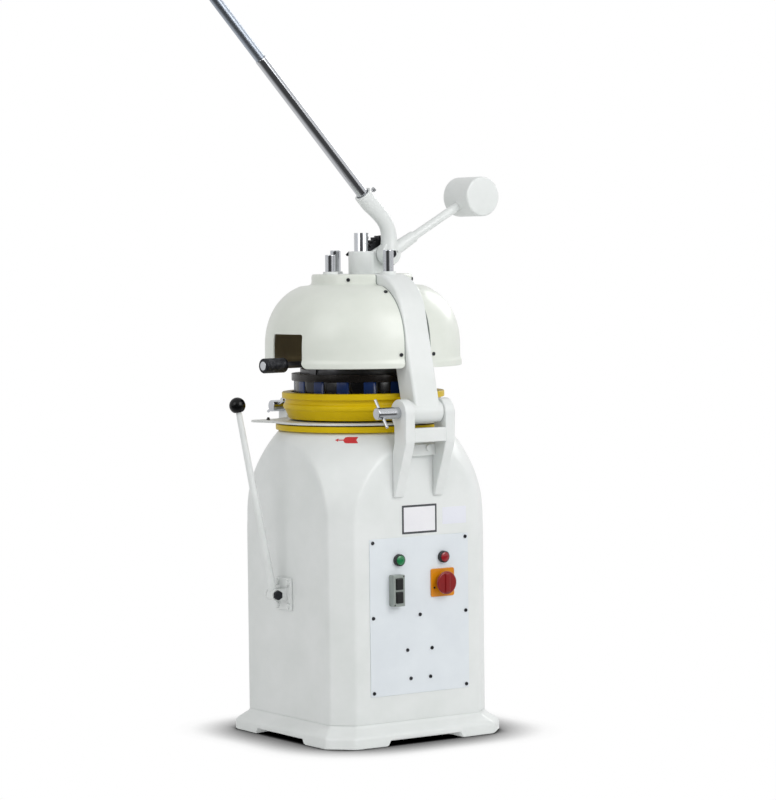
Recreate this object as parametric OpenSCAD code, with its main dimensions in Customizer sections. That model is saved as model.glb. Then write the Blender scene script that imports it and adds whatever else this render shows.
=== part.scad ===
// Dough divider rounder with a hinged dividing head, in millimetres.
// The origin is on the floor under the machine's axis and +Z is up. The operator stands at -Y,
// the switch panel and the head's hinge are at +X, and the head's lock is at -X.

/* [Base] */
// Width of the square plinth at the floor
plinth_w = 572; // [560:1:600]
// Height of the plinth
plinth_h = 58; // [50:1:66]
// Height of the plinth's upright lip
plinth_lip_h = 24; // [20:1:30]
// Corner chamfer of the plinth
plinth_chamfer = 58; // [50:1:70]
// Width of the opening inside the plinth
plinth_opening_w = 372; // [340:2:380]
// Height of the cut-outs between the corner feet
foot_gap_h = 14; // [8:1:18]
// Length of the cut-outs between the corner feet
foot_gap_l = 236; // [180:2:280]
// Spacing of the floor bolts
floor_bolt_spacing = 420; // [410:1:430]
// Diameter of the floor bolt holes
floor_bolt_d = 14; // [10:1:18]
// Width of the square body casing
body_w = 512; // [506:1:520]
// Corner chamfer of the body casing
body_chamfer = 53; // [44:1:60]
// Wall of the body casing
casing_wall = 8; // [6:0.5:9]
// Height at which the casing's round shoulder starts
shoulder_z = 582; // [570:1:600]
// Height of the casing's neck
neck_z = 832; // [826:1:840]
// Outer radius of the casing's neck
neck_r = 230; // [226:1:236]
// Thickness of the flange inside the neck
neck_flange_t = 12; // [10:1:16]

/* [Table] */
// Outer radius of the yellow lower ring
lower_ring_r = 241; // [236:1:246]
// Height of the yellow lower ring
lower_ring_h = 16; // [14:1:20]
// Radius of the deck plate
deck_r = 205; // [198:1:210]
// Thickness of the deck plate
deck_t = 12; // [10:1:14]
// Height of the slide ring under the table
slide_ring_h = 3; // [2:0.5:5]
// Radius of the rounding table
table_r = 246; // [240:1:250]
// Thickness of the rounding table
table_t = 6; // [5:0.5:8]
// Radius at the tip of the table's ear
ear_tip_r = 304; // [290:1:320]
// Direction of the table's ear, measured from +X
ear_angle = 236; // [228:1:242]
// Offset of the table's crank pin from the machine's axis
throw = 8; // [5:0.5:10]

/* [Drive] */
// Diameter of the main shaft
shaft_d = 35; // [30:1:40]
// Outer diameter of the shaft bearings
bearing_d = 72; // [68:1:80]
// Width of the shaft bearings
bearing_w = 17; // [15:1:20]
// Gap between the rims of the two pulleys
pulley_gap = 18.4; // [14:0.2:26]
// Speed ratio from motor to table
belt_ratio = 2.5; // [2.2:0.1:3]
// Gap between the motor's flange and the casing's rear wall
motor_gap = 13; // [8:1:20]
// Radius of the motor's body
motor_r = 70; // [60:1:74]
// Length of the motor's body
motor_l = 210; // [180:1:240]

/* [Hinge and lock] */
// Distance of the hinge pin and the lock pin from the casing's faces
pin_out = 29; // [27:1:32]
// Height of the hinge pin and the lock pin
pin_z = 887; // [884:1:892]
// Diameter of the hinge pin and the lock pin
pin_d = 28; // [24:1:32]
// Radius of the hinge fork's ears around the pin
fork_ear_r = 36; // [32:1:38]
// Radius of the lock fork's ears around the pin
lock_ear_r = 24; // [22:1:36]
// Thickness of each fork ear
fork_ear_t = 30; // [22:1:34]
// Clear width between the fork ears
fork_gap = 100; // [96:1:108]
// Height of the lower tip of the fork's legs
fork_tip_z = 660; // [640:1:690]
// Length of the hinge pin's handle
hinge_handle_l = 70; // [60:1:80]
// Length of the lock pin's handle
lock_handle_l = 40; // [36:1:80]

/* [Head frame] */
// Height of the arm's top face
arm_top_z = 1255; // [1250:1:1262]
// Width of the arm
arm_w = 80; // [74:1:86]
// Thickness of the arm
arm_t = 56; // [50:1:60]
// Distance by which the arm's leg stands out from the covers
arm_proud = 14; // [8:1:14]
// Outer radius of the arm's bend
arm_bend_r = 124; // [116:1:130]
// Distance from the bend's centre to the hinge pin
arm_reach = 171; // [167:1:175]
// Lean of the arm's leg from upright
arm_lean = 13.6; // [12.5:0.1:14.5]
// Radius of the arm's hinge hub
hub_r = 30; // [28:1:31]
// Radius of the crown that carries the guide bushes
crown_r = 132; // [128:1:133]
// Thickness of the crown
crown_t = 44; // [36:1:50]
// Inner radius of the moulding ring
ring_bore_r = 198; // [197.5:0.5:200]
// Height of the moulding ring
ring_h = 73; // [70:1:76]
// Gap between the table and the moulding ring
ring_gap = 5; // [3:1:8]

/* [Covers] */
// Radius of the covers at their lip
cover_r = 268; // [262:1:272]
// Height of the covers' lower edge
cover_z = 1004; // [1000:1:1008]
// Sheet thickness of the covers
cover_t = 4; // [3:0.5:5]
// Radius of the cap on top of the covers
cap_r = 138; // [138:1:142]
// Width of the window for the cut lever
window_w = 124; // [110:1:130]
// Height of the window's upper edge
window_z = 1096; // [1070:1:1110]

/* [Press head] */
// Travel of the press head
press_stroke = 44; // [30:1:46]
// Drop of the knives below the press blocks
knife_drop = 12; // [6:0.5:12]
// Radius of the press blocks
block_r = 190; // [186:1:192]
// Height of the press blocks
block_h = 51; // [47:1:52]
// Radius of the head flange
flange_r = 196; // [194:0.5:196]
// Thickness of the head flange
flange_t = 19; // [17:1:22]
// Thickness of the knives
knife_t = 2.4; // [1.6:0.2:3]
// Gap between neighbouring press blocks
block_gap = 4.4; // [4.2:0.2:5]
// Diameter of the toothed centre post
rack_d = 40; // [38:1:42]
// Height of the top of the centre post
rack_top_z = 1367; // [1362:1:1374]
// Diameter of the guide posts
guide_d = 29; // [24:1:30]
// Height of the tops of the guide posts
guide_top_z = 1320; // [1312:1:1330]
// Distance of the two side guide posts from the axis
guide_side_r = 130; // [128:1:130]
// Distance of the front guide post from the axis
guide_front_r = 102; // [98:1:104]
// Distance of the cut grip's end from the axis
cut_grip_r = 350; // [340:1:356]
// Diameter of the cut grip
cut_grip_d = 40; // [34:1:42]
// Direction of the cut lever, measured from -Y towards +X
cut_angle = 6.7; // [5:0.1:8]

/* [Press lever] */
// Gear module of the rack and pinion
gear_module = 4; // [3.8:0.1:4.1]
// Number of pinion teeth
pinion_teeth = 23; // [22:1:24]
// Height of the pinion's axis
pinion_z = 1310; // [1308:1:1314]
// Diameter of the pinion's shaft
pinion_shaft_d = 24; // [20:1:26]
// Diameter of the lever rod
lever_rod_d = 32; // [28:1:34]
// Diameter of the grip sleeve on the lever
grip_d = 28; // [25:1:31]
// Angle of the lever above the horizontal at rest
lever_angle = 48; // [44:1:52]
// Length of the lever's thick stretch, from the socket's mouth
lever_thick_l = 482; // [400:1:540]
// Length of the grip sleeve
grip_l = 370; // [300:1:400]
// Diameter of the counterweight
weight_d = 110; // [96:1:120]
// Length of the counterweight
weight_l = 116; // [100:1:130]
// Distance of the counterweight from the pinion's axis
weight_arm = 320; // [290:1:340]
// Angle of the counterweight's rod above the horizontal
weight_angle = 29; // [25:1:33]

/* [Rounding lever] */
// Height of the rounding lever's pivot
round_pivot_z = 393; // [360:1:420]
// Distance of the pivot from the casing's face
round_pivot_out = 39; // [36:1:44]
// Length from the pivot to the ball
round_lever_l = 526; // [480:1:540]
// Outward lean of the rounding lever
round_lean = 11.5; // [10:0.5:14]
// Diameter of the ball knob
ball_d = 44; // [36:1:50]

/* [Panel] */
// Width of the switch panel
panel_w = 322; // [312:1:330]
// Height of the switch panel
panel_h = 422; // [412:1:430]
// Height of the panel's centre
panel_z = 341; // [335:1:350]
// Thickness of the switch panel
panel_t = 2; // [1.5:0.5:3]
// Width of the casing's opening behind the panel
access_w = 262; // [250:1:270]
// Height of the casing's opening behind the panel
access_h = 366; // [360:1:372]
// Width of the push-button box
switch_box_w = 36; // [33:1:42]
// Height of the push-button box
switch_box_h = 84; // [80:1:92]
// Depth of the push-button box
switch_box_d = 23; // [22:1:30]
// Travel of the push buttons
button_travel = 3; // [2:0.5:4]
// Width of the square main switch plate
switch_plate_w = 76; // [70:1:84]
// Radius of the main switch knob
switch_knob_r = 31; // [26:1:34]

/* [Hidden] */
$fn = 64;

// Finishes
paint = "#dfe4df";
cover_paint = "#d9ddcf";
yellow = "#d6b414";
steel = "#b9bcc0";
dark = "#2a2a2c";

// Clearances
running = 0.05;
bearing_play = 0.02;
guide_play = 0.1;
loose = 0.3;
overcut = 1;

// Base
body_half = body_w / 2;
plinth_half = plinth_w / 2;
flare_steps = 8;
shoulder_steps = 14;
corner_r = norm([body_half, body_half - body_chamfer]) + 0.5;
shoulder_in = corner_r - neck_r;
shoulder_rise = neck_z - shoulder_z;
shoulder_r = (pow(shoulder_rise, 2) + pow(shoulder_in, 2)) / (2 * shoulder_in);
shoulder_cx = corner_r - shoulder_r;
function shoulder_radius(z) = shoulder_cx + sqrt(pow(shoulder_r, 2) - pow(z - shoulder_z, 2));
neck_opening_r = deck_r - 25;
foot_bolt = floor_bolt_spacing / 2;
casing_inner = body_half - casing_wall;

// Table stack
deck_top_z = neck_z + deck_t;
lower_ring_top_z = neck_z + lower_ring_h;
table_z = lower_ring_top_z + slide_ring_h;
table_top_z = table_z + table_t;
table_hub_r = 30;
crank_pin_d = 24;
crank_disc_r = 40;
crank_disc_t = 6;
well_r = table_hub_r + 2 * throw + 12;
well_z = neck_z - crank_disc_t - loose;
deck_hub_r = bearing_d / 2 + 24;
deck_hub_l = 116;
deck_bolt_r = (deck_r + neck_opening_r) / 2;
deck_bolt_d = 8;
ear_round_r = 17;
ear_root_half = 62;
ear_pin_back = 47;
ear_pin_r = ear_tip_r - ear_pin_back;
ear_pin_d = 10;
ear_pin_h = 7;

// Drive
upper_bearing_z = well_z - bearing_w;
lower_bearing_z = neck_z - deck_hub_l;
pulley_h = 26;
pulley_z = lower_bearing_z - 8 - pulley_h;
pulley_mid_z = pulley_z + pulley_h / 2;
groove_depth = 7;
belt_t = 8;
belt_w = 13;
motor_plate_t = 8;
motor_plate_z = pulley_z - 24;
motor_plate_half = 100;
motor_flange_t = 8;
motor_flange_r = motor_r + 15;
motor_y = casing_inner - motor_flange_r - motor_gap;
main_groove_r = (motor_y - pulley_gap - 2 * groove_depth) * belt_ratio / (belt_ratio + 1);
motor_groove_r = main_groove_r / belt_ratio;
motor_bolt_r = motor_r + 5;
motor_shaft_d = 19;
motor_shaft_sink = 50;
motor_shaft_end = 4;
motor_bolt_d = 8;
motor_pilot_r = 45;
motor_bracket_l = 108;
motor_bolt_inset = 20;
motor_wall_x = motor_plate_half - motor_bolt_inset;
motor_wall_bolts = [for (x = [-motor_wall_x, motor_wall_x],
    z = [28, motor_bracket_l - motor_bolt_inset])
    [x, motor_plate_z - z]];

// Hinge and lock: the pins stand clear of the casing and of the orbiting table
table_clear = 30;
pin_x = max(body_half + pin_out, table_r + throw + table_clear);
fork_in = fork_gap / 2;
fork_out = fork_in + fork_ear_t;
fork_web_z = [808, 846];
fork_web_t = 22;
fork_plate_t = 14;
fork_plate_z = [768, 800];
fork_bolt_z = [789];
fork_bolt_y = 26;
fork_bolt_d = 10;
fork_back_x = pin_x - 20;
fork_seat_z = 780;
fork_tip_t = 8;
pin_head_d = pin_d + 4;
pin_bar_d = 8;
pin_bar_l = 92;
pin_tail = 6;

// Head frame
guide_bush_wall = 6;
guide_bush_collar = 7;
arm_half = arm_w / 2;
arm_front_x = -guide_side_r - guide_d / 2 - guide_bush_wall - 5;
arm_bend_x = pin_x - arm_reach;
arm_bend_z = arm_top_z - arm_bend_r;
arm_bend_steps = 10;
hub_half = fork_in - 0.5;
bush_wall = 5;
bush_l = 40;
crown_z = arm_top_z - 6 - crown_t;
ring_z = table_top_z + ring_gap;
ring_top_z = ring_z + ring_h;
ring_lug_half = 38;
lock_lug_half = 40;
lock_lug_r = 26;
notch_flare = 5;

// Press head, at rest
flange_z = ring_top_z + 31;
flange_top_z = flange_z + flange_t;
block_z = flange_z - block_h;
rib_r = guide_side_r + guide_d / 2 + 5.5;
rib_t = 5;
rib_h = 11;
post_sink = 15;
hanger_r = 127;
hanger_d = 10;
hanger_angles = [90, 210, 330];
spider_t = 7;
spider_z = flange_top_z + knife_drop + 2;
spider_hub_r = 60;
block_rings = [[0, 64, 4], [64, hanger_r, 10], [hanger_r, block_r, 16]];
cut_ring_t = 13;
cut_ring_w = 22;
cut_lever_d = 18;
cut_lever_rise = 29;
cut_lever_z = flange_top_z + cut_lever_rise;
cut_grip_l = 72;

// Guide places
guide_places = [[guide_side_r, 0], [-guide_side_r, 0], [0, -guide_front_r]];
front_guide_drop = 12;
guide_tops = [guide_top_z, guide_top_z, guide_top_z - front_guide_drop];

// Pinion and rack
pinion_r = gear_module * pinion_teeth / 2;
rack_line_y = rack_d / 2 - gear_module;
pinion_y = rack_line_y + pinion_r;
pinion_w = 24;
gear_pitch = PI * gear_module;
tooth_share = 0.366;
tooth_dedendum = 1.25;
pressure_angle = 20;
rack_gaps = [-3:1:4];
housing_r = 36;
housing_plate_t = 6;
cheek_t = 11;
cheek_gap = pinion_w + 2;
cheek_r = 26;
housing_top_z = pinion_z + 7;

// Press lever
lever_x = cheek_gap / 2 + cheek_t + 18;
lever_hub_half = 16;
lever_hub_r = 31;
mouth = [-22, 163];
neck_points = [[1, 64], [-36, 118], [-62, 150]];
neck_radii = [18, 23, 24];
socket_l = 62;
rod_sink = 50;
rod_core_d = 20;
rod_end_l = 8;
weight_boss = [26, 96];
weight_rod_d = 24;
weight_rod_sink = 30;

// Rounding lever
round_x = -8;
round_pivot_y = -body_half - round_pivot_out;
round_hub_r = 15;
round_hub_half = 12;
round_pin_d = 16;
round_ear_t = 8;
round_plate = [76, 8, 88];
round_rod_r = [round_hub_half, 8];
round_rod_start = 6;
round_tip_sink = 14;

// Panel
face_x = body_half;
panel_front_x = face_x + panel_t;
panel_y = 2.5;
screw_inset = 10;
panel_rows = [panel_z - panel_h / 2 + screw_inset, panel_z, panel_z + panel_h / 2 - screw_inset];
panel_edge_screws = [for (side = [-1, 1], z = panel_rows) [panel_y
    + side * (panel_w / 2 - screw_inset), z]];
panel_centre_screws = [[panel_y, panel_z], [panel_y - 42, 248], [panel_y + 38, 248],
                       [panel_y - 32, 171], [panel_y + 32, 171]];
screw_d = 5;
screw_head_d = 10;
screw_head_h = 3;
lamp_z = 492;
green_y = -66;
red_y = 79;
lamp_r = 16;
lens_r = 13;
lamp_stem_d = 22;
switch_box_y = -79;
switch_box_z = 412;
button_w = 22;
button_h = 30;
button_proud = 4;
button_pitch = 36;
switch_plate_y = 76;
switch_plate_z = 423;
switch_plate_t = 4;
switch_stem_d = 12;
switch_knob_h = 26;
contactor_size = [52, 100, 110];
contactor_rise = 6;
contactor_z = panel_z - access_h / 2 + contactor_rise + contactor_size[2] / 2;
gland_x = -120;
gland_z = 112;
gland_d = 20;

// Square with cut corners
module cut_square(w, c) {
    h = w / 2;
    polygon([[h, c - h], [h, h - c], [h - c, h], [c - h, h], [-h, h - c], [-h, c - h], [c - h, -h],
        [h - c, -h]]);
}

// Ring of rectangular section
module ring(r_out, r_in, h) {
    difference() {
        cylinder(r = r_out, h = h, $fn = 96);
        translate([0, 0, -overcut]) cylinder(r = r_in, h = h + 2 * overcut, $fn = 96);
    }
}

// Cylinder along +X from a point
module x_cylinder(r, x0, x1) {
    translate([x0, 0, 0]) rotate([0, 90, 0]) cylinder(r = r, h = x1 - x0);
}

// Cylinder along +Y from a point
module y_cylinder(r, y0, y1) {
    translate([0, y0, 0]) rotate([-90, 0, 0]) cylinder(r = r, h = y1 - y0);
}

// Outline in the XZ plane, extruded along Y
module xz_plate(y0, y1) {
    translate([0, y1, 0]) rotate([90, 0, 0]) linear_extrude(y1 - y0) children();
}

// Outline in the YZ plane, extruded along X
module yz_plate(x0, x1) {
    translate([x0, 0, 0]) rotate([90, 0, 90]) linear_extrude(x1 - x0) children();
}

// Hexagon bolt along +X: head outside the origin, shank behind it
module x_bolt(d, shank) {
    head_h = 0.65 * d;
    rotate([0, 90, 0]) cylinder(d = 1.8 * d, h = head_h, $fn = 6);
    x_cylinder(d / 2, -shank, overcut);
}

// Plinth: one swept outline seen along four directions
function flare(t) = (1 + cos(180 * t)) / 2;
function plinth_side(low, high) = concat([[low, 0]],
    [for (i = [0:flare_steps]) let (t = i / flare_steps)
        [high + (low - high) * flare(t), plinth_lip_h + (plinth_h - plinth_lip_h) * t]]);
function both_sides(side) = concat(side, [for (i = [len(side) - 1:-1:0]) [-side[i][0], side[i][1]]]);
module plinth_sweep(low, high, angle) {
    rotate([0, 0, angle]) xz_plate(-plinth_w, plinth_w) polygon(both_sides(plinth_side(low, high)));
}
module plinth() {
    low_corner = (plinth_w - plinth_chamfer) / sqrt(2);
    high_corner = (body_w - body_chamfer) / sqrt(2);
    color(paint) difference() {
        intersection() {
            plinth_sweep(plinth_half, body_half, 0);
            plinth_sweep(plinth_half, body_half, 90);
            plinth_sweep(low_corner, high_corner, 45);
            plinth_sweep(low_corner, high_corner, 135);
        }
        translate([0, 0, plinth_h / 2])
            cube([plinth_opening_w, plinth_opening_w, plinth_h + 2 * overcut], center = true);
        for (angle = [0, 90]) rotate([0, 0, angle]) xz_plate(-plinth_w, plinth_w)
            polygon([[-foot_gap_l / 2 - 4, -overcut], [foot_gap_l / 2 + 4, -overcut],
                     [foot_gap_l / 2 - 4, foot_gap_h], [4 - foot_gap_l / 2, foot_gap_h]]);
        for (x = [-1, 1], y = [-1, 1]) translate([x * foot_bolt, y * foot_bolt, -overcut])
            cylinder(d = floor_bolt_d, h = plinth_h + 2 * overcut);
    }
}

// Casing: cut square below, turned shoulder above
module casing_form(inset, z0, z1) {
    step = (z1 - shoulder_z) / shoulder_steps;
    shoulder = [for (i = [0:shoulder_steps]) let (z = shoulder_z
        + i * step) [shoulder_radius(z) - inset, z]];
    intersection() {
        translate([0, 0, z0]) linear_extrude(z1 - z0)
            cut_square(body_w - 2 * inset, body_chamfer - inset * (2 - sqrt(2)));
        rotate_extrude($fn = 128) polygon(concat([[0, z0 - overcut], [corner_r - inset, z0 - overcut]],
            shoulder, [[0, z1]]));
    }
}
module body_casing() {
    color(paint) difference() {
        casing_form(0, plinth_h, neck_z);
        casing_form(casing_wall, plinth_h - overcut, neck_z - neck_flange_t);
        translate([0, 0, neck_z - 2 * neck_flange_t])
            cylinder(r = neck_opening_r, h = 3 * neck_flange_t, $fn = 96);
        translate([face_x, panel_y, panel_z]) cube([3 * casing_wall, access_w, access_h],
            center = true);
        for (p = panel_edge_screws) translate([face_x, p[0], p[1]])
            x_cylinder(screw_d / 2, -2 * casing_wall, overcut);
        for (side = [0, 180]) rotate([0, 0, side]) fork_bolt_places()
            x_cylinder(fork_bolt_d / 2, -3 * casing_wall, overcut);
        lever_bolt_places() y_cylinder(fork_bolt_d / 2, -overcut, 2 * casing_wall);
        motor_wall_places() y_cylinder(motor_bolt_d / 2, -2 * casing_wall, overcut);
        translate([gland_x, body_half, gland_z]) y_cylinder(gland_d / 2, -2 * casing_wall, overcut);
        for (a = [30:60:330]) rotate([0, 0, a]) translate([deck_bolt_r, 0, neck_z - 2 * neck_flange_t])
            cylinder(d = deck_bolt_d, h = 3 * neck_flange_t);
    }
}

// Yellow ring on the neck
module lower_ring() {
    edge = 3;
    color(yellow) rotate_extrude($fn = 128)
        polygon([[deck_r + loose, neck_z], [lower_ring_r - edge, neck_z],
        [lower_ring_r, neck_z + edge], [lower_ring_r, lower_ring_top_z - edge],
        [lower_ring_r - edge, lower_ring_top_z], [deck_r + loose, lower_ring_top_z]]);
}

// Low-friction ring that the table slides on
module slide_ring() {
    color(dark) translate([0, 0, lower_ring_top_z]) ring(deck_r + 21, deck_r + 1, slide_ring_h);
}

// Deck plate with the bearing hub below it
module deck_plate() {
    color("#8d9092") difference() {
        union() {
            translate([0, 0, neck_z]) cylinder(r = deck_r, h = deck_t, $fn = 96);
            translate([0, 0, neck_z - deck_hub_l]) cylinder(r = deck_hub_r, h = deck_hub_l + overcut);
        }
        translate([0, 0, well_z]) cylinder(r = well_r, h = deck_top_z);
        translate([0, 0, upper_bearing_z]) cylinder(d = bearing_d, h = deck_top_z);
        translate([0, 0, lower_bearing_z - overcut]) cylinder(d = bearing_d, h = bearing_w + overcut);
        translate([0, 0, lower_bearing_z]) cylinder(d = bearing_d - 10, h = deck_hub_l);
        for (a = [30:60:330]) rotate([0, 0, a]) translate([deck_bolt_r, 0, neck_z - overcut])
            cylinder(d = deck_bolt_d, h = deck_t + 2 * overcut);
    }
}
module deck_bolts() {
    head_h = 3.2;
    color(steel) for (a = [30:60:330]) rotate([0, 0, a])
        translate([deck_bolt_r, 0, neck_z - neck_flange_t]) {
        cylinder(d = deck_bolt_d, h = neck_flange_t + deck_t + overcut);
        translate([0, 0, neck_flange_t + deck_t]) cylinder(d = 1.8 * deck_bolt_d, h = head_h, $fn = 6);
    }
}

// Ball bearing with a shield recess on both sides
module bearing() {
    recess = 1;
    race = 5;
    difference() {
        ring(bearing_d / 2, shaft_d / 2, bearing_w);
        for (z = [-overcut, bearing_w - recess]) translate([0, 0, z])
            ring(bearing_d / 2 - race, shaft_d / 2 + race, recess + overcut);
    }
}
module shaft_bearings() {
    color(steel) for (z = [upper_bearing_z, lower_bearing_z]) translate([0, 0, z]) bearing();
}

// Motor, its bracket on the rear wall and its bolts
module motor_wall_places() {
    for (p = motor_wall_bolts) translate([p[0], body_half, p[1]]) children();
}
module motor_flange_places() {
    for (a = [45:90:315]) translate([0, motor_y, 0]) rotate([0, 0, a])
        translate([motor_bolt_r, 0, 0]) children();
}
module motor_bracket() {
    front_y = motor_y - motor_flange_r;
    color("#6f7377") difference() {
        union() {
            translate([-motor_plate_half, front_y, motor_plate_z])
                cube([2 * motor_plate_half, casing_inner - front_y, motor_plate_t]);
            translate([-motor_plate_half, casing_inner - motor_plate_t,
                motor_plate_z - motor_bracket_l])
                cube([2 * motor_plate_half, motor_plate_t, motor_bracket_l + overcut]);
        }
        translate([0, motor_y, motor_plate_z - overcut])
            cylinder(r = motor_pilot_r, h = motor_plate_t + 2 * overcut);
        motor_flange_places() translate([0, 0, motor_plate_z - overcut])
            cylinder(d = motor_bolt_d, h = 4 * motor_plate_t);
        motor_wall_places() y_cylinder(motor_bolt_d / 2, -4 * casing_wall, 0);
    }
}
module motor_bolts() {
    grip = casing_wall + motor_plate_t;
    color(steel) {
        motor_wall_places() rotate([0, 0, 90]) x_bolt(motor_bolt_d, grip);
        motor_flange_places() translate([0, 0, motor_plate_z + motor_plate_t]) rotate([0, -90, 0])
            x_bolt(motor_bolt_d, motor_plate_t + motor_flange_t);
    }
}
module motor() {
    box = [60, 26, 80];
    color("#4a5560") difference() {
        union() {
            translate([0, motor_y, motor_plate_z - motor_flange_t])
                cylinder(r = motor_flange_r, h = motor_flange_t);
            translate([0, motor_y, motor_plate_z - motor_flange_t - motor_l])
                cylinder(r = motor_r, h = motor_l + overcut);
            translate([-box[0] / 2, motor_y - motor_r - box[1] + 8,
                motor_plate_z - motor_l / 2 - box[2] / 2]) cube(box);
        }
        motor_flange_places() translate([0, 0, motor_plate_z - 2 * motor_flange_t])
            cylinder(d = motor_bolt_d, h = 4 * motor_flange_t);
        translate([0, motor_y, motor_plate_z - motor_shaft_sink])
            cylinder(d = motor_shaft_d + 2 * running, h = 2 * motor_shaft_sink);
    }
}
module motor_shaft() {
    low = motor_plate_z - motor_shaft_sink;
    high = pulley_z + pulley_h + motor_shaft_end;
    color(steel) translate([0, motor_y, low]) cylinder(d = motor_shaft_d, h = high - low);
}

// Grooved belt pulley
module pulley(groove_r, bore_d) {
    rim = groove_r + groove_depth;
    half = belt_w / 2 + 1;
    translate([0, 0, pulley_z]) rotate_extrude($fn = 96) polygon([[bore_d / 2, 0], [rim, 0],
        [rim, pulley_h / 2 - half], [groove_r, pulley_h / 2 - half], [groove_r, pulley_h / 2 + half],
        [rim, pulley_h / 2 + half], [rim, pulley_h], [bore_d / 2, pulley_h]]);
}
module main_pulley() {
    color("#55595d") pulley(main_groove_r, shaft_d - 2 * bearing_play);
}
module motor_pulley() {
    color("#55595d") translate([0, motor_y, 0]) pulley(motor_groove_r, motor_shaft_d);
}

// Belt: two wraps joined by straight runs
function wrap(cy, r, a0, a1, n) = [for (i = [0:n]) let (a = a0 + (a1 - a0) * i / n) [r * cos(a), cy
    + r * sin(a)]];
function belt_outline(grow) = let (r1 = main_groove_r + grow, r2 = motor_groove_r + grow,
    g = acos((r1 - r2) / motor_y))
    concat(wrap(0, r1, 90 + g, 450 - g, 48), wrap(motor_y, r2, 90 - g, 90 + g, 24));
module drive_belt() {
    color(dark) translate([0, 0, pulley_mid_z - belt_w / 2]) linear_extrude(belt_w) difference() {
        polygon(belt_outline(belt_t));
        polygon(belt_outline(2 * loose));
    }
}

// Main shaft with its crank disc and crank pin
module main_shaft() {
    shaft_r = shaft_d / 2 - bearing_play;
    color(steel) {
        translate([0, 0, pulley_z - 6]) cylinder(r = shaft_r, h = well_z - pulley_z + 6 + loose);
        translate([0, 0, well_z + loose]) cylinder(r = crank_disc_r, h = crank_disc_t);
        translate([-throw, 0, neck_z - overcut]) cylinder(d = crank_pin_d, h = table_z - neck_z);
    }
}

// Rounding table with its hub and its ear
module table_outline() {
    root_x = sqrt(pow(table_r, 2) - pow(ear_root_half, 2)) - 6;
    tip_x = ear_tip_r - ear_round_r;
    circle(r = table_r, $fn = 128);
    rotate(ear_angle) {
        polygon([[root_x, -ear_root_half], [tip_x, -ear_round_r + 1], [tip_x, ear_round_r - 1],
            [root_x, ear_root_half]]);
        translate([tip_x, 0]) circle(r = ear_round_r);
    }
}
module rounding_table() {
    color("#d5d8d6") translate([-throw, 0, 0]) difference() {
        union() {
            translate([0, 0, table_z]) linear_extrude(table_t) table_outline();
            rotate([0, 0, ear_angle]) translate([ear_pin_r, 0, table_z + overcut])
                cylinder(d = ear_pin_d, h = table_t + ear_pin_h - overcut);
            translate([0, 0, neck_z + loose]) cylinder(r = table_hub_r, h = table_z - neck_z + overcut);
        }
        translate([0, 0, neck_z - overcut])
            cylinder(d = crank_pin_d + 2 * running, h = table_z - neck_z + 2 * overcut);
    }
}

// Fork bracket at +X: two ears with legs, a web and a bolted back plate
module fork_bolt_places() {
    for (y = [-fork_bolt_y, fork_bolt_y], z = fork_bolt_z) translate([face_x, y, z]) children();
}
module fork_bracket(ear_r) {
    web_x = pin_x + ear_r + 1;
    difference() {
        union() {
            for (y0 = [-fork_out, fork_in]) xz_plate(y0, y0 + fork_ear_t) {
                translate([pin_x, pin_z]) circle(r = ear_r);
                polygon([[face_x, fork_tip_z], [face_x + fork_tip_t, fork_tip_z],
                    [web_x - 1, fork_web_z[0]],
                         [web_x - 1, pin_z], [fork_back_x, pin_z - 25],
                             [fork_back_x, fork_web_z[0]], [face_x, fork_seat_z]]);
            }
            translate([web_x - fork_web_t, -fork_in - overcut, fork_web_z[0]])
                cube([fork_web_t - 1, fork_gap + 2 * overcut, fork_web_z[1] - fork_web_z[0]]);
            translate([face_x, -fork_in - overcut, fork_plate_z[0]])
                cube([fork_plate_t, fork_gap + 2 * overcut, fork_plate_z[1] - fork_plate_z[0]]);
        }
        translate([pin_x, 0, pin_z]) y_cylinder(pin_d / 2 + running, -fork_out - overcut, fork_out
            + overcut);
        fork_bolt_places() x_cylinder(fork_bolt_d / 2, -overcut, fork_plate_t + overcut);
    }
}
module hinge_bracket() {
    color(paint) fork_bracket(fork_ear_r);
}
module lock_bracket() {
    color(paint) mirror([1, 0, 0]) fork_bracket(lock_ear_r);
}
module bracket_bolts() {
    color(steel) {
        for (side = [0, 180]) rotate([0, 0, side]) fork_bolt_places() translate([fork_plate_t, 0, 0])
            x_bolt(fork_bolt_d, fork_plate_t + casing_wall);
        lever_bolt_places() translate([0, -round_plate[1], 0]) rotate([0, 0, -90])
            x_bolt(fork_bolt_d, round_plate[1] + casing_wall);
    }
}

// Pin with a turning bar, along Y
module bar_pin(bar_angle, handle_l) {
    head_y = -fork_out - handle_l;
    color(steel) translate([0, 0, pin_z]) {
        y_cylinder(pin_d / 2, -fork_out - overcut, fork_out + pin_tail);
        difference() {
            y_cylinder(pin_head_d / 2, head_y, -fork_out);
            translate([0, head_y + 2 * pin_bar_d, 0]) rotate([0, -bar_angle, 0])
                x_cylinder(pin_bar_d / 2, -pin_bar_l, pin_bar_l);
        }
        translate([0, head_y + 2 * pin_bar_d, 0]) rotate([0, -bar_angle, 0])
            x_cylinder(pin_bar_d / 2, -pin_bar_l / 2, pin_bar_l / 2);
    }
}
module hinge_pin() {
    translate([pin_x, 0, 0]) bar_pin(128, hinge_handle_l);
}
module lock_pin() {
    translate([-pin_x, 0, 0]) bar_pin(23, lock_handle_l);
}

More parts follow.
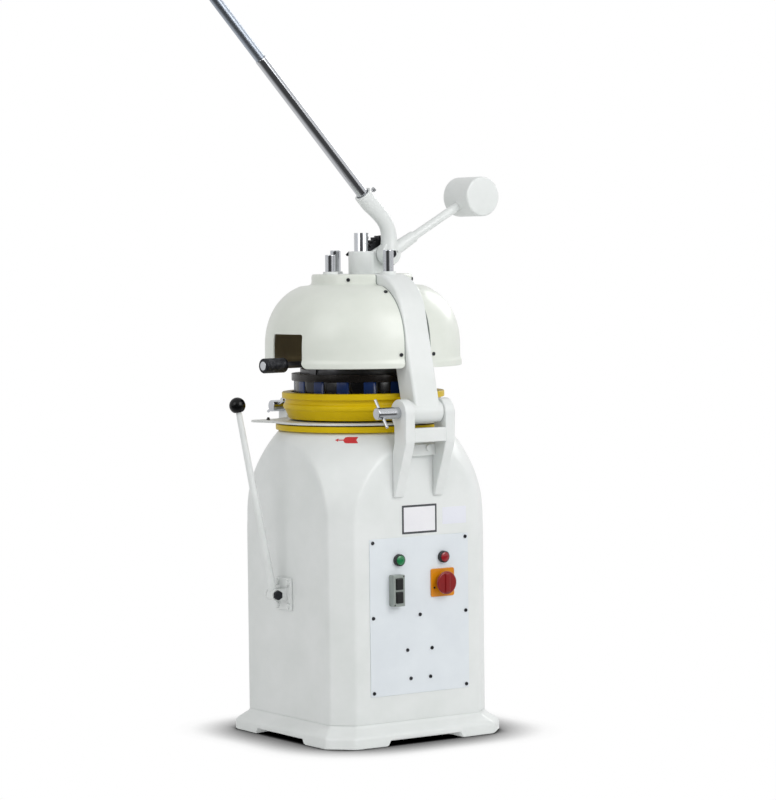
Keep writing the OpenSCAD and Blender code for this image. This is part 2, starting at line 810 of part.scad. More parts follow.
// Arm outline: top beam, bend and leaning leg, set in from the outer edge
function arm_edge(inset) = let (r = arm_bend_r - inset, out = [cos(arm_lean), sin(arm_lean)],
    down = [sin(arm_lean), -cos(arm_lean)],
        bend_end = [arm_bend_x, arm_bend_z] + r * out)
    concat([[arm_front_x, arm_bend_z + r]],
        [for (i = [0:arm_bend_steps]) let (a = 90 - (90 - arm_lean) * i / arm_bend_steps)
            [arm_bend_x + r * cos(a), arm_bend_z + r * sin(a)]],
        [bend_end + down * (bend_end[1] - pin_z) / cos(arm_lean)]);
function reversed(list) = [for (i = [len(list) - 1:-1:0]) list[i]];
module arm_band(outer, inner) {
    polygon(concat(arm_edge(outer), reversed(arm_edge(inner))));
}
module head_arm() {
    color(paint) difference() {
        union() {
            xz_plate(-arm_half, arm_half) for (x = [0, arm_proud]) translate([x, 0]) arm_band(0, arm_t);
            translate([0, 0, crown_z]) cylinder(r = crown_r, h = crown_t, $fn = 96);
            translate([pin_x, 0, pin_z]) y_cylinder(hub_r, -hub_half, hub_half);
        }
        translate([pin_x, 0, pin_z]) y_cylinder(pin_d / 2 + bush_wall, -hub_half - overcut, hub_half
            + overcut);
        translate([0, 0, crown_z - 2 * arm_t]) cylinder(d = rack_d + 2 * guide_bush_wall,
            h = 4 * arm_t);
        for (p = guide_places) translate([p[0], p[1], crown_z - 2 * arm_t])
            cylinder(d = guide_d + 2 * guide_bush_wall, h = 4 * arm_t);
    }
}
module hinge_bushes() {
    color("#a97c3c") translate([pin_x, 0, pin_z]) for (y0 = [-hub_half, hub_half - bush_l])
        difference() {
        y_cylinder(pin_d / 2 + bush_wall, y0, y0 + bush_l);
        y_cylinder(pin_d / 2 + running, y0 - overcut, y0 + bush_l + overcut);
    }
}

// Bushes for the centre post and the guide posts
module guide_bush(d) {
    difference() {
        translate([0, 0, crown_z]) cylinder(d = d + 2 * guide_bush_wall, h = arm_top_z - crown_z
            + guide_bush_collar);
        translate([0, 0, crown_z - overcut]) cylinder(d = d + 2 * running, h = 4 * crown_t);
    }
}
module guide_bushes() {
    color("#a97c3c") {
        guide_bush(rack_d);
        for (p = guide_places) translate([p[0], p[1], 0]) guide_bush(guide_d);
    }
}

// Moulding ring with beads, a lug on the arm's leg and a notched lock lug
module ring_section() {
    foot_r = ring_bore_r + 6;
    bead_r = ring_bore_r + 16;
    top_r = ring_bore_r + 25;
    polygon([[ring_bore_r, ring_z], [foot_r, ring_z], [bead_r, ring_z + 22], [bead_r, ring_top_z - 17],
             [top_r - 4, ring_top_z - 17], [top_r, ring_top_z - 13], [top_r, ring_top_z - 4],
             [top_r - 4, ring_top_z], [ring_bore_r, ring_top_z]]);
    translate([bead_r - 4, ring_z + 34]) circle(r = 10);
}
module ring_bore() {
    translate([0, 0, ring_z - overcut]) cylinder(r = ring_bore_r, h = ring_h + 2 * overcut, $fn = 128);
}
module moulding_ring() {
    lug_z = [ring_z + 10, ring_top_z - 8];
    leg_in = arm_edge(arm_t);
    leg_foot = leg_in[len(leg_in) - 1];
    lug_end_x = function (z) leg_foot[0] - (z - leg_foot[1]) * tan(arm_lean);
    pin_slot = pin_d / 2 + loose;
    color(yellow) {
        rotate_extrude($fn = 128) ring_section();
        difference() {
            union() {
                xz_plate(-ring_lug_half, ring_lug_half) polygon([[0, pin_z], [lug_end_x(pin_z), pin_z],
                    [lug_end_x(lug_z[1]), lug_z[1]], [0, lug_z[1]]]);
                xz_plate(-lock_lug_half, lock_lug_half) {
                    polygon([[0, lug_z[0]], [-pin_x, pin_z - lock_lug_r + 6],
                        [-pin_x, pin_z + lock_lug_r], [0, lug_z[1]]]);
                    translate([-pin_x, pin_z]) circle(r = lock_lug_r);
                }
            }
            ring_bore();
            xz_plate(-lock_lug_half - overcut, lock_lug_half + overcut) {
                translate([-pin_x, pin_z]) circle(r = pin_slot);
                polygon([[-pin_x - pin_slot, pin_z], [-pin_x + pin_slot, pin_z],
                         [-pin_x + pin_slot + notch_flare, pin_z - 2 * lock_lug_r],
                             [-pin_x - pin_slot - notch_flare, pin_z - 2 * lock_lug_r]]);
            }
        }
    }
}

// Domed covers: one turned sheet, divided by the arm
cap_top_z = arm_top_z;
cap_step_z = cap_top_z - 29;
dome_cx = 110;
dome_z = cover_z + 52;
dome_b = cap_step_z - dome_z + 6;
dome_steps = 16;
dome_fullness = 2.2;
lip_h = 16;
lip_out = 4;
function dome_share(z) = pow(1 - pow((z - dome_z) / dome_b, dome_fullness), 1 / dome_fullness);
function dome_radius(z) = dome_cx + (cover_r - dome_cx) * dome_share(z);
function dome_line(inset) = concat(
    [[cover_r + (inset == 0 ? lip_out : -inset), cover_z], [cover_r + (inset == 0 ? lip_out : -inset),
        cover_z + lip_h],
     [cover_r - inset, cover_z + lip_h + lip_out]],
    [for (i = [0:dome_steps]) let (z = dome_z
        + (cap_step_z - dome_z) * i / dome_steps) [dome_radius(z) - inset, z - inset * i / dome_steps]],
    [[cap_r - inset, cap_step_z - inset], [cap_r - inset, cap_top_z - inset], [0, cap_top_z - inset]]);
module half_region() {
    span = 2 * cover_r;
    translate([-span, -span, cover_z - span]) cube([2 * span, span - arm_half - loose, 2 * span]);
    translate([-span, -span, cover_z - span])
        cube([span + arm_front_x - loose, span - loose, 2 * span]);
}
module cover_half() {
    flange_x = crown_r + 6;
    intersection() {
        difference() {
            rotate_extrude($fn = 128) polygon(concat(dome_line(0), reversed(dome_line(cover_t))));
            translate([guide_places[2][0], guide_places[2][1], cap_step_z])
                cylinder(d = guide_d + 2 * guide_bush_wall + 2 * loose,
                h = 2 * (cap_top_z - cap_step_z));
        }
        half_region();
    }
    xz_plate(-arm_half - loose - cover_t, -arm_half - loose) intersection() {
        arm_band(1, 30);
        translate([flange_x, cover_z]) square([cover_r, cap_top_z - cover_z]);
    }
}
cover_screw_rise = [36, 203];
cover_screw_edge = 12;
cap_screw_angle = -49;
cap_screw_drop = 15;
function dome_tilt(z) = atan2(pow((z - dome_z) / dome_b, dome_fullness - 1) / dome_b,
    pow(dome_share(z), dome_fullness - 1) / (cover_r - dome_cx));
module cover_screw_places() {
    for (rise = cover_screw_rise) {
        z = cover_z + rise;
        r = z < dome_z ? cover_r : dome_radius(z);
        tilt = z < dome_z ? 0 : dome_tilt(z);
        translate([0, 0, z]) rotate([0, 0, -asin((arm_half + loose + cover_screw_edge) / r)])
            translate([r, 0, 0]) rotate([0, -tilt, 0]) children();
    }
    translate([0, 0, cap_top_z - cap_screw_drop]) rotate([0, 0, cap_screw_angle])
        translate([cap_r, 0, 0]) children();
}
module cover_screw_holes() {
    cover_screw_places() x_cylinder(screw_d / 2, -2 * cover_t, overcut);
}
module front_cover() {
    color(cover_paint) difference() {
        cover_half();
        rotate([0, 0, cut_angle - 1.2]) translate([-window_w / 2, -2 * cover_r, cover_z - overcut])
            cube([window_w, cover_r + 80, window_z - cover_z + overcut]);
        cover_screw_holes();
    }
}
module rear_cover() {
    color(cover_paint) mirror([0, 1, 0]) difference() {
        cover_half();
        cover_screw_holes();
    }
}
module cover_screws() {
    color(dark) for (side = [0, 1]) mirror([0, side, 0]) cover_screw_places() {
        x_cylinder(screw_d / 2, crown_r - cap_r, overcut);
        x_cylinder(screw_head_d / 2, 0, screw_head_h);
    }
}

// Housing of the pinion on the arm's top
module pinion_housing() {
    plate_y = [-housing_r, pinion_y + cheek_r];
    plate_half = cheek_gap / 2 + cheek_t;
    color(paint) difference() {
        union() {
            translate([0, 0, arm_top_z]) cylinder(r = housing_r, h = housing_top_z - arm_top_z);
            yz_plate(-plate_half, plate_half) {
                polygon([[0, arm_top_z], [plate_y[1], arm_top_z], [pinion_y + cheek_r, pinion_z],
                    [pinion_y, pinion_z + 4], [0, housing_top_z]]);
                translate([pinion_y, pinion_z]) circle(r = cheek_r);
            }
        }
        translate([0, 0, arm_top_z - overcut]) cylinder(d = rack_d + 2 * guide_bush_wall + 2 * running,
            h = guide_bush_collar + overcut);
        translate([0, 0, arm_top_z]) cylinder(d = rack_d + 2, h = housing_top_z);
        translate([-cheek_gap / 2, 0, arm_top_z - overcut])
            cube([cheek_gap, pinion_y + 2 * pinion_r, 2 * (pinion_z - arm_top_z)]);
        translate([0, pinion_y, pinion_z]) x_cylinder(pinion_shaft_d / 2 + running, -2 * plate_half,
            2 * plate_half);
    }
}

// Pinion teeth as straight-sided outlines
function tooth_point(r, half_width, a) = let (d = half_width / r * 180 / PI) [r * cos(a + d),
    r * sin(a + d)];
pinion_root_r = pinion_r - tooth_dedendum * gear_module;
pinion_tip_r = pinion_r + gear_module;
tooth_half = tooth_share * gear_pitch / 2;
tooth_top_half = tooth_half - gear_module * tan(pressure_angle);
tooth_root_half = tooth_half + tooth_dedendum * gear_module * tan(pressure_angle);
pinion_outline = [for (i = [0:pinion_teeth - 1]) let (a = 180 + 360 * i / pinion_teeth)
    each [tooth_point(pinion_root_r, -tooth_root_half, a), tooth_point(pinion_tip_r, -tooth_top_half, a),
          tooth_point(pinion_tip_r, tooth_top_half, a),
          tooth_point(pinion_root_r, tooth_root_half, a)]];
module pinion() {
    tail = cheek_gap / 2 + cheek_t + 8;
    color(dark) translate([0, pinion_y, pinion_z]) {
        yz_plate(-pinion_w / 2, pinion_w / 2) polygon(pinion_outline);
        x_cylinder(pinion_shaft_d / 2, -tail, lever_x + lever_hub_half + 4);
    }
}

// Centre post with rack teeth on its +Y side
module rack_post() {
    gap_half = gear_pitch / 2 - tooth_half;
    out = 2 * gear_module;
    in = tooth_dedendum * gear_module;
    color(steel) difference() {
        translate([0, 0, flange_top_z - post_sink])
            cylinder(d = rack_d, h = rack_top_z - flange_top_z + post_sink);
        for (k = rack_gaps) yz_plate(-rack_d, rack_d)
            translate([rack_line_y, pinion_z + k * gear_pitch])
            polygon([[-in, in * tan(pressure_angle) - gap_half],
                [out, -out * tan(pressure_angle) - gap_half],
                     [out, out * tan(pressure_angle) + gap_half],
                         [-in, gap_half - in * tan(pressure_angle)]]);
    }
}
module guide_posts() {
    low = flange_top_z - post_sink;
    color(steel) for (i = [0:len(guide_places) - 1]) translate([guide_places[i][0], guide_places[i][1], low])
        cylinder(d = guide_d, h = guide_tops[i] - low);
}

// Lever casting: hub, curved neck, socket and counterweight boss
module lever_frame() {
    translate([lever_x, pinion_y, pinion_z]) children();
}
module along_lever() {
    translate([0, mouth[0] - pinion_y, mouth[1]]) rotate([90 - lever_angle, 0, 0]) children();
}
module neck_ball(i) {
    translate([0, neck_points[i][0], neck_points[i][1]]) sphere(r = neck_radii[i], $fn = 32);
}
module lever_socket() {
    color(paint) lever_frame() difference() {
        union() {
            x_cylinder(lever_hub_r, -lever_hub_half, lever_hub_half);
            hull() {
                x_cylinder(lever_hub_r - 8, -lever_hub_half + 1, lever_hub_half - 1);
                neck_ball(0);
            }
            for (i = [0:len(neck_points) - 2]) hull() {
                neck_ball(i);
                neck_ball(i + 1);
            }
            along_lever() translate([0, 0, -socket_l]) cylinder(d1 = lever_rod_d + 14,
                d2 = lever_rod_d + 16, h = socket_l);
            rotate([weight_angle - 90, 0, 0]) translate([0, 0, weight_boss[0]])
                cylinder(r1 = 18, r2 = 16, h = weight_boss[1] - weight_boss[0]);
        }
        x_cylinder(pinion_shaft_d / 2, -2 * lever_hub_half, 2 * lever_hub_half);
        along_lever() translate([0, 0, -rod_sink]) cylinder(d = lever_rod_d, h = 2 * rod_sink);
        rotate([weight_angle - 90, 0, 0]) translate([0, 0, weight_boss[1] - weight_rod_sink])
            cylinder(d = weight_rod_d, h = weight_boss[1]);
    }
}
module lever_rod() {
    color(steel) lever_frame() along_lever() {
        translate([0, 0, -rod_sink]) cylinder(d = lever_rod_d, h = rod_sink + lever_thick_l);
        translate([0, 0, lever_thick_l - overcut]) cylinder(d = rod_core_d, h = grip_l + overcut);
        translate([0, 0, lever_thick_l + grip_l]) cylinder(d1 = grip_d, d2 = grip_d - 6, h = rod_end_l);
    }
}
module grip_sleeve() {
    color("#c4c8cb") lever_frame() along_lever() translate([0, 0, lever_thick_l]) difference() {
        cylinder(d = grip_d, h = grip_l);
        translate([0, 0, -overcut]) cylinder(d = rod_core_d, h = grip_l + 2 * overcut);
    }
}
module counterweight_rod() {
    start = weight_boss[1] - weight_rod_sink;
    color(paint) lever_frame() rotate([weight_angle - 90, 0, 0]) translate([0, 0, start])
        cylinder(d = weight_rod_d, h = weight_arm - start);
}
module counterweight() {
    edge = 4;
    color(paint) lever_frame() difference() {
        rotate([weight_angle, 0, 0]) translate([0, weight_arm, 0]) rotate([0, 90, 0]) rotate_extrude()
            polygon([[0, -weight_l / 2], [weight_d / 2 - edge, -weight_l / 2],
                [weight_d / 2, edge - weight_l / 2],
                     [weight_d / 2, weight_l / 2 - edge], [weight_d / 2 - edge, weight_l / 2],
                         [0, weight_l / 2]]);
        rotate([weight_angle - 90, 0, 0]) cylinder(d = weight_rod_d, h = weight_arm);
    }
}

// Head flange with the rib that guides the cut ring
module head_flange() {
    color("#241d1a") difference() {
        union() {
            translate([0, 0, flange_z]) cylinder(r = flange_r, h = flange_t, $fn = 128);
            translate([0, 0, flange_top_z - overcut]) ring(rib_r, rib_r - rib_t, rib_h + overcut);
        }
        translate([0, 0, flange_top_z - post_sink]) cylinder(d = rack_d, h = 2 * post_sink);
        for (p = guide_places) translate([p[0], p[1], flange_top_z - post_sink])
            cylinder(d = guide_d, h = 2 * post_sink);
        hanger_places() translate([0, 0, flange_z - overcut]) cylinder(d = hanger_d + 2 * guide_play,
            h = flange_t + 2 * overcut);
    }
}

// Press blocks in three rings, one per dough piece
module block(r0, r1, count, i) {
    inner = r0 == 0 ? block_gap : r0 + block_gap / 2;
    outer = r1 == block_r ? r1 : r1 - block_gap / 2;
    intersection() {
        ring(outer, inner, block_h);
        rotate([0, 0, 360 * (i + 0.5) / count]) linear_extrude(block_h)
            let (h = 180 / count, s = block_gap / 2 / sin(h), far = 2 * block_r)
            polygon([[s, 0], [s + far * cos(h), -far * sin(h)], [s + far * cos(h), far * sin(h)]]);
    }
}
module hanger_places() {
    for (a = hanger_angles) rotate([0, 0, a]) translate([hanger_r, 0, 0]) children();
}
module press_blocks() {
    color("#1d2c4c") difference() {
        translate([0, 0, block_z]) for (b = block_rings) for (i = [0:b[2] - 1]) block(b[0], b[1], b[2], i);
        hanger_places() translate([0, 0, block_z - overcut]) cylinder(d = hanger_d + 3, h = block_h
            + 2 * overcut);
    }
}

// Knives in the gaps between the blocks, hung from a spider above the flange
module knife_set() {
    knife_h = block_h - 1;
    color("#33353a") {
        translate([0, 0, block_z]) {
            for (b = [block_rings[0], block_rings[1]]) ring(b[1] + knife_t / 2, b[1] - knife_t / 2,
                knife_h);
            for (b = block_rings) for (i = [0:b[2] - 1]) rotate([0, 0, 360 * i / b[2]])
                translate([b[0], -knife_t / 2, 0])
                    cube([b[1] - b[0] - (b[1] == block_r ? 1 : 0), knife_t, knife_h]);
        }
        hanger_places() translate([0, 0, block_z + 5]) cylinder(d = hanger_d, h = spider_z
            + spider_t - block_z - 5);
        translate([0, 0, spider_z]) {
            ring(spider_hub_r, rack_d / 2 + guide_play, spider_t);
            for (a = hanger_angles) rotate([0, 0, a]) translate([rack_d / 2 + 6, -8, 0])
                cube([hanger_r - rack_d / 2 - 2, 16, spider_t]);
        }
    }
}

// Cut ring with its lever, and the grip on the lever's end
module cut_frame() {
    rotate([0, 0, cut_angle]) children();
}
module cut_ring() {
    lug_w = 24;
    lug_r = rib_r + cut_ring_w;
    lug_h = cut_lever_z + cut_lever_d / 2 + 2 - flange_top_z;
    color("#5c6064") {
        translate([0, 0, flange_top_z]) ring(lug_r, rib_r + guide_play, cut_ring_t);
        cut_frame() translate([-lug_w / 2, -lug_r - 6, flange_top_z])
            cube([lug_w, cut_ring_w + 2, lug_h]);
        cut_frame() translate([0, 0, cut_lever_z]) y_cylinder(cut_lever_d / 2, 8 - cut_grip_r, -lug_r);
    }
}
module cut_grip() {
    edge = 2;
    color("#303236") cut_frame() translate([0, -cut_grip_r, cut_lever_z]) difference() {
        rotate([-90, 0, 0]) rotate_extrude()
            polygon([[0, 0], [cut_grip_d / 2 - edge, 0], [cut_grip_d / 2, edge],
            [cut_grip_d / 2, cut_grip_l - edge], [cut_grip_d / 2 - edge, cut_grip_l], [0, cut_grip_l]]);
        y_cylinder(cut_lever_d / 2, 8, cut_grip_l + overcut);
    }
}

// Rounding lever on the operator's face
module lever_bolt_places() {
    inset = 13;
    for (x = [-1, 1], z = [-1, 1]) translate([round_x + x * (round_plate[0] / 2 - inset), -body_half,
        round_pivot_z + z * (round_plate[2] / 2 - inset)]) children();
}
module lever_bracket() {
    ear_r = round_pin_d / 2 + 8;
    color(paint) difference() {
        union() {
            translate([round_x - round_plate[0] / 2, -body_half - round_plate[1],
                round_pivot_z - round_plate[2] / 2]) cube(round_plate);
            for (x0 = [-round_hub_half - loose - round_ear_t, round_hub_half
                + loose]) yz_plate(round_x + x0, round_x + x0 + round_ear_t) {
                translate([round_pivot_y, round_pivot_z]) circle(r = ear_r);
                translate([round_pivot_y, round_pivot_z - ear_r])
                    square([round_pivot_out - round_plate[1] / 2, 2 * ear_r]);
            }
        }
        translate([0, round_pivot_y, round_pivot_z]) x_cylinder(round_pin_d / 2, -2 * round_plate[0],
            2 * round_plate[0]);
        lever_bolt_places() y_cylinder(fork_bolt_d / 2, -2 * round_plate[1], overcut);
    }
}
module lever_pivot_pin() {
    reach = round_hub_half + loose + round_ear_t;
    color(dark) translate([round_x, round_pivot_y, round_pivot_z]) {
        x_cylinder(round_pin_d / 2, -reach - 3, reach + overcut);
        translate([reach, 0, 0]) rotate([0, 90, 0]) cylinder(d = 1.7 * round_pin_d, h = 9, $fn = 6);
    }
}
module round_frame() {
    translate([round_x, round_pivot_y, round_pivot_z]) rotate([round_lean, 0, 0]) children();
}
module rounding_lever() {
    color(paint) round_frame() difference() {
        union() {
            x_cylinder(round_hub_r, -round_hub_half, round_hub_half);
            translate([0, 0, round_rod_start]) cylinder(r1 = round_rod_r[0], r2 = round_rod_r[1],
                h = round_lever_l - round_tip_sink - round_rod_start);
            translate([0, 0, round_lever_l - 2 * round_tip_sink]) cylinder(r = round_rod_r[1] - 2,
                h = 2 * round_tip_sink);
        }
        x_cylinder(round_pin_d / 2 + running, -2 * round_hub_half, 2 * round_hub_half);
    }
}
module lever_knob() {
    flat = round_lever_l - round_tip_sink;
    color("#101012") round_frame() difference() {
        translate([0, 0, round_lever_l]) sphere(d = ball_d);
        translate([0, 0, flat - ball_d]) cylinder(d = ball_d, h = ball_d);
        translate([0, 0, flat - overcut]) cylinder(r = round_rod_r[1] - 2, h = round_tip_sink
            + overcut);
    }
}

// Switch panel and what is on it
module control_panel() {
    color("#e4e7e6") difference() {
        translate([face_x, panel_y - panel_w / 2, panel_z - panel_h / 2])
            cube([panel_t, panel_w, panel_h]);
        for (p = concat(panel_edge_screws, panel_centre_screws))
            translate([face_x, p[0], p[1]]) x_cylinder(screw_d / 2, -overcut, 2 * panel_t);
        for (y = [green_y, red_y]) translate([face_x, y, lamp_z]) x_cylinder(lamp_stem_d / 2, -overcut,
            2 * panel_t);
        translate([face_x, switch_plate_y, switch_plate_z]) x_cylinder(switch_stem_d / 2 + loose,
            -overcut, 2 * panel_t);
    }
}
module panel_screws() {
    color(dark) for (p = concat(panel_edge_screws, panel_centre_screws))
        translate([panel_front_x, p[0], p[1]]) {
        x_cylinder(screw_d / 2, -panel_t - casing_wall, overcut);
        x_cylinder(screw_head_d / 2, 0, screw_head_h);
    }
}
module lamp_bezels() {
    bezel_h = 12;
    color("#3b3e40") for (y = [green_y, red_y]) translate([panel_front_x, y, lamp_z])
        rotate([0, 90, 0]) ring(lamp_r, lens_r, bezel_h);
}
module lens(y) {
    flat = 12;
    round_h = 3;
    lens_bend_r = 2.6 * lens_r;
    translate([panel_front_x, y, lamp_z]) {
        x_cylinder(lamp_stem_d / 2, -16 - panel_t, 0.5);
        x_cylinder(lens_r, 0, flat);
        intersection() {
            translate([flat + round_h - lens_bend_r, 0, 0]) sphere(r = lens_bend_r);
            x_cylinder(lens_r, flat - 0.5, flat + round_h);
        }
    }
}
module green_lens() {
    color("#1f8a52") lens(green_y);
}
module red_lens() {
    color("#b3202a") lens(red_y);
}
button_front_x = panel_front_x + switch_box_d;
button_pocket = 18;
module button_place(side) {
    translate([button_front_x, switch_box_y, switch_box_z + side * button_pitch / 2]) children();
}
module button(side) {
    depth = button_pocket - button_travel - 1;
    button_place(side) translate([-depth, -button_w / 2, -button_h / 2])
        cube([depth + button_proud, button_w, button_h]);
}
module switch_box() {
    color("#9aa29c") difference() {
        translate([panel_front_x, switch_box_y - switch_box_w / 2,
            switch_box_z - switch_box_h / 2]) cube([switch_box_d, switch_box_w, switch_box_h]);
        for (side = [-1, 1]) button_place(side)
            translate([-button_pocket, -button_w / 2 - loose, -button_h / 2 - loose])
                cube([2 * button_pocket, button_w + 2 * loose, button_h + 2 * loose]);
    }
}
module start_button() {
    color("#262b29") button(1);
}
module stop_button() {
    color("#2c2526") button(-1);
}
module main_switch_plate() {
    color("#e39a18") difference() {
        translate([panel_front_x, switch_plate_y - switch_plate_w / 2,
            switch_plate_z - switch_plate_w / 2]) cube([switch_plate_t, switch_plate_w,
            switch_plate_w]);
        translate([face_x, switch_plate_y, switch_plate_z]) x_cylinder(switch_stem_d / 2 + running, 0,
            4 * switch_plate_t);
    }
}
module main_switch_knob() {
    back_r = 0.62 * switch_knob_r;
    disc_h = 8;
    bar_w = 15;
    bar_h = 4;
    color("#a01f22") translate([panel_front_x + switch_plate_t, switch_plate_y, switch_plate_z]) {
        x_cylinder(switch_stem_d / 2, -switch_plate_t - panel_t, overcut);
        x_cylinder(back_r, 0, switch_knob_h - bar_h - disc_h);
        x_cylinder(switch_knob_r, switch_knob_h - bar_h - disc_h - overcut, switch_knob_h - bar_h);
        translate([switch_knob_h - bar_h - overcut, -bar_w / 2, 5 - switch_knob_r])
            cube([bar_h + overcut, bar_w, 2 * switch_knob_r - 10]);
    }
}
module contactor() {
    color("#3d4246") difference() {
        translate([face_x - contactor_size[0], panel_y - contactor_size[1] / 2,
            contactor_z - contactor_size[2] / 2]) cube(contactor_size);
        for (i = [1:4]) translate([face_x, p_centre(i)[0], p_centre(i)[1]])
            x_cylinder(screw_d / 2, -casing_wall, overcut);
    }
}
function p_centre(i) = panel_centre_screws[i];
module cable_gland() {
    nut_h = 9;
    body_h = 12;
    color(dark) translate([gland_x, body_half, gland_z]) difference() {
        union() {
            y_cylinder(gland_d / 2, -casing_wall - 6, overcut);
            rotate([-90, 0, 0]) cylinder(d = 1.5 * gland_d, h = nut_h, $fn = 6);
            y_cylinder(0.6 * gland_d, nut_h - overcut, nut_h + body_h);
        }
        y_cylinder(0.3 * gland_d, -4 * casing_wall, 4 * casing_wall);
    }
}

plinth();
body_casing();
lower_ring();
slide_ring();
deck_plate();
deck_bolts();
shaft_bearings();
motor_bracket();
motor_bolts();
motor();
drive_belt();
control_panel();
panel_screws();
lamp_bezels();
green_lens();
red_lens();
switch_box();
main_switch_plate();
contactor();
cable_gland();
hinge_bracket();
lock_bracket();
bracket_bolts();
lever_bracket();
lever_pivot_pin();
main_shaft();
main_pulley();
rounding_table();
motor_shaft();
motor_pulley();
hinge_pin();
lock_pin();
start_button();
stop_button();
main_switch_knob();
rounding_lever();
lever_knob();
head_arm();
hinge_bushes();
moulding_ring();
front_cover();
rear_cover();
cover_screws();
pinion_housing();
guide_bushes();
pinion();
lever_socket();
lever_rod();
grip_sleeve();
counterweight_rod();
counterweight();
head_flange();
press_blocks();
rack_post();
guide_posts();
knife_set();
cut_ring();
cut_grip();
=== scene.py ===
import math

import bmesh
import bpy
from mathutils import Matrix, Vector


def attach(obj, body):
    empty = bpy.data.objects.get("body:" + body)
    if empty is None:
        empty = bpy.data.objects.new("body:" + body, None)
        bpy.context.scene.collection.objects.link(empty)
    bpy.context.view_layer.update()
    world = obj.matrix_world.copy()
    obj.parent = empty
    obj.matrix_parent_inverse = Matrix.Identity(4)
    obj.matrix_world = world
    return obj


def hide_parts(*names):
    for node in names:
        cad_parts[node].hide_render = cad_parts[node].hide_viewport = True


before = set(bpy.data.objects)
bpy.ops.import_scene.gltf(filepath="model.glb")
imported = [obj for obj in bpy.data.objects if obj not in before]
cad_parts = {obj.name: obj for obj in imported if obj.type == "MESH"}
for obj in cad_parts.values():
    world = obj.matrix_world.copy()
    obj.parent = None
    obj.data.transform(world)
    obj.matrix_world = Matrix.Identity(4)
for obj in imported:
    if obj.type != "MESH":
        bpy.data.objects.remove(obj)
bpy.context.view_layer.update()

# Pieces are in millimetres and turn into metres when they are made
MM = 0.001

# Camera, in metres and pixels: from the front right, tilted and rolled as in the photograph
IMAGE_W = 776
FOCAL_PX = 3020.6
VIEW_TURN = math.radians(33.81)
VIEW_ROLL = math.radians(0.69)
VIEW_DISTANCE = 8.288
VIEW_HEIGHT = 1.32
CENTRE_PX = (24.84, 150.2)
SENSOR_MM = 36
UP = Vector((0, 0, 1))
TOWARD = Vector((math.cos(VIEW_TURN), -math.sin(VIEW_TURN), 0))
RIGHT = Vector((math.sin(VIEW_TURN), math.cos(VIEW_TURN), 0))


def add_object(name, data):
    made = bpy.data.objects.new(name, data)
    bpy.context.scene.collection.objects.link(made)
    return made


def make_camera():
    data = bpy.data.cameras.new("camera")
    data.sensor_fit = "HORIZONTAL"
    data.sensor_width = SENSOR_MM
    data.lens = FOCAL_PX / IMAGE_W * SENSOR_MM
    data.clip_end = 100
    forward = (-TOWARD * FOCAL_PX + RIGHT * CENTRE_PX[0] - UP * CENTRE_PX[1]).normalized()
    side = RIGHT * math.cos(VIEW_ROLL) - UP * math.sin(VIEW_ROLL)
    side = (side - forward * side.dot(forward)).normalized()
    tilt = Matrix((side, side.cross(forward), -forward)).transposed().to_4x4()
    camera = add_object("camera", data)
    camera.matrix_world = Matrix.Translation(TOWARD * VIEW_DISTANCE + UP * VIEW_HEIGHT) @ tilt
    bpy.context.scene.camera = camera


make_camera()
bpy.context.scene.view_settings.view_transform = "Standard"


# Shader nodes and groups
# Count and level of the dark stripes that paint reflections round the press blocks
REFLECTION_STRIPE_COUNT = 16
REFLECTION_STRIPE_LEVEL = -0.15
TONE_SCALE = 7
WEAR_RADIUS = 0.003


def set_inputs(node, values):
    for label, value in values.items():
        node.inputs[label].default_value = value
    return node


def add_node(tree, kind, operation=None, **values):
    """A new node with values for its inputs."""
    node = tree.nodes.new("ShaderNode" + kind)
    if operation:
        node.operation = operation
    return set_inputs(node, values)


def add_range(tree, start, end, low=0, high=1, smooth=False):
    """A node that carries start to end over to low to high."""
    node = add_node(tree, "MapRange")
    if smooth:
        node.interpolation_type = "SMOOTHSTEP"
    return set_inputs(node, {"From Min": start, "From Max": end, "To Min": low, "To Max": high})


def add_mix(tree):
    node = add_node(tree, "Mix")
    node.data_type = "RGBA"
    return node


def wire(tree, *links):
    """Links nodes; each link is a node, its output, another node and its input."""
    for start, out, end, into in links:
        tree.links.new(start.outputs[out], end.inputs[into])


def new_group(name, inputs, outputs):
    tree = bpy.data.node_groups.new(name, "ShaderNodeTree")
    for label, kind, value in inputs:
        socket = tree.interface.new_socket(label, in_out="INPUT", socket_type="NodeSocket" + kind)
        socket.default_value = value
    for label, kind in outputs:
        tree.interface.new_socket(label, in_out="OUTPUT", socket_type="NodeSocket" + kind)
    return tree, tree.nodes.new("NodeGroupInput"), tree.nodes.new("NodeGroupOutput")


def grain_group():
    tree, source, sink = new_group(
        "grain", [("Scale", "Float", 400), ("Strength", "Float", 0.1), ("Stretch", "Vector", (1, 1, 1))],
        [("Mask", "Float"), ("Normal", "Vector")])
    coords = add_node(tree, "TexCoord")
    stretch = add_node(tree, "VectorMath", "MULTIPLY")
    noise = add_node(tree, "TexNoise", Detail=3)
    bump = add_node(tree, "Bump", Distance=0.002)
    wire(tree, (coords, "Object", stretch, 0), (source, "Stretch", stretch, 1), (stretch, 0, noise, "Vector"),
         (source, "Scale", noise, "Scale"), (noise, "Fac", bump, "Height"),
         (source, "Strength", bump, "Strength"), (noise, "Fac", sink, "Mask"),
         (bump, "Normal", sink, "Normal"))
    return tree


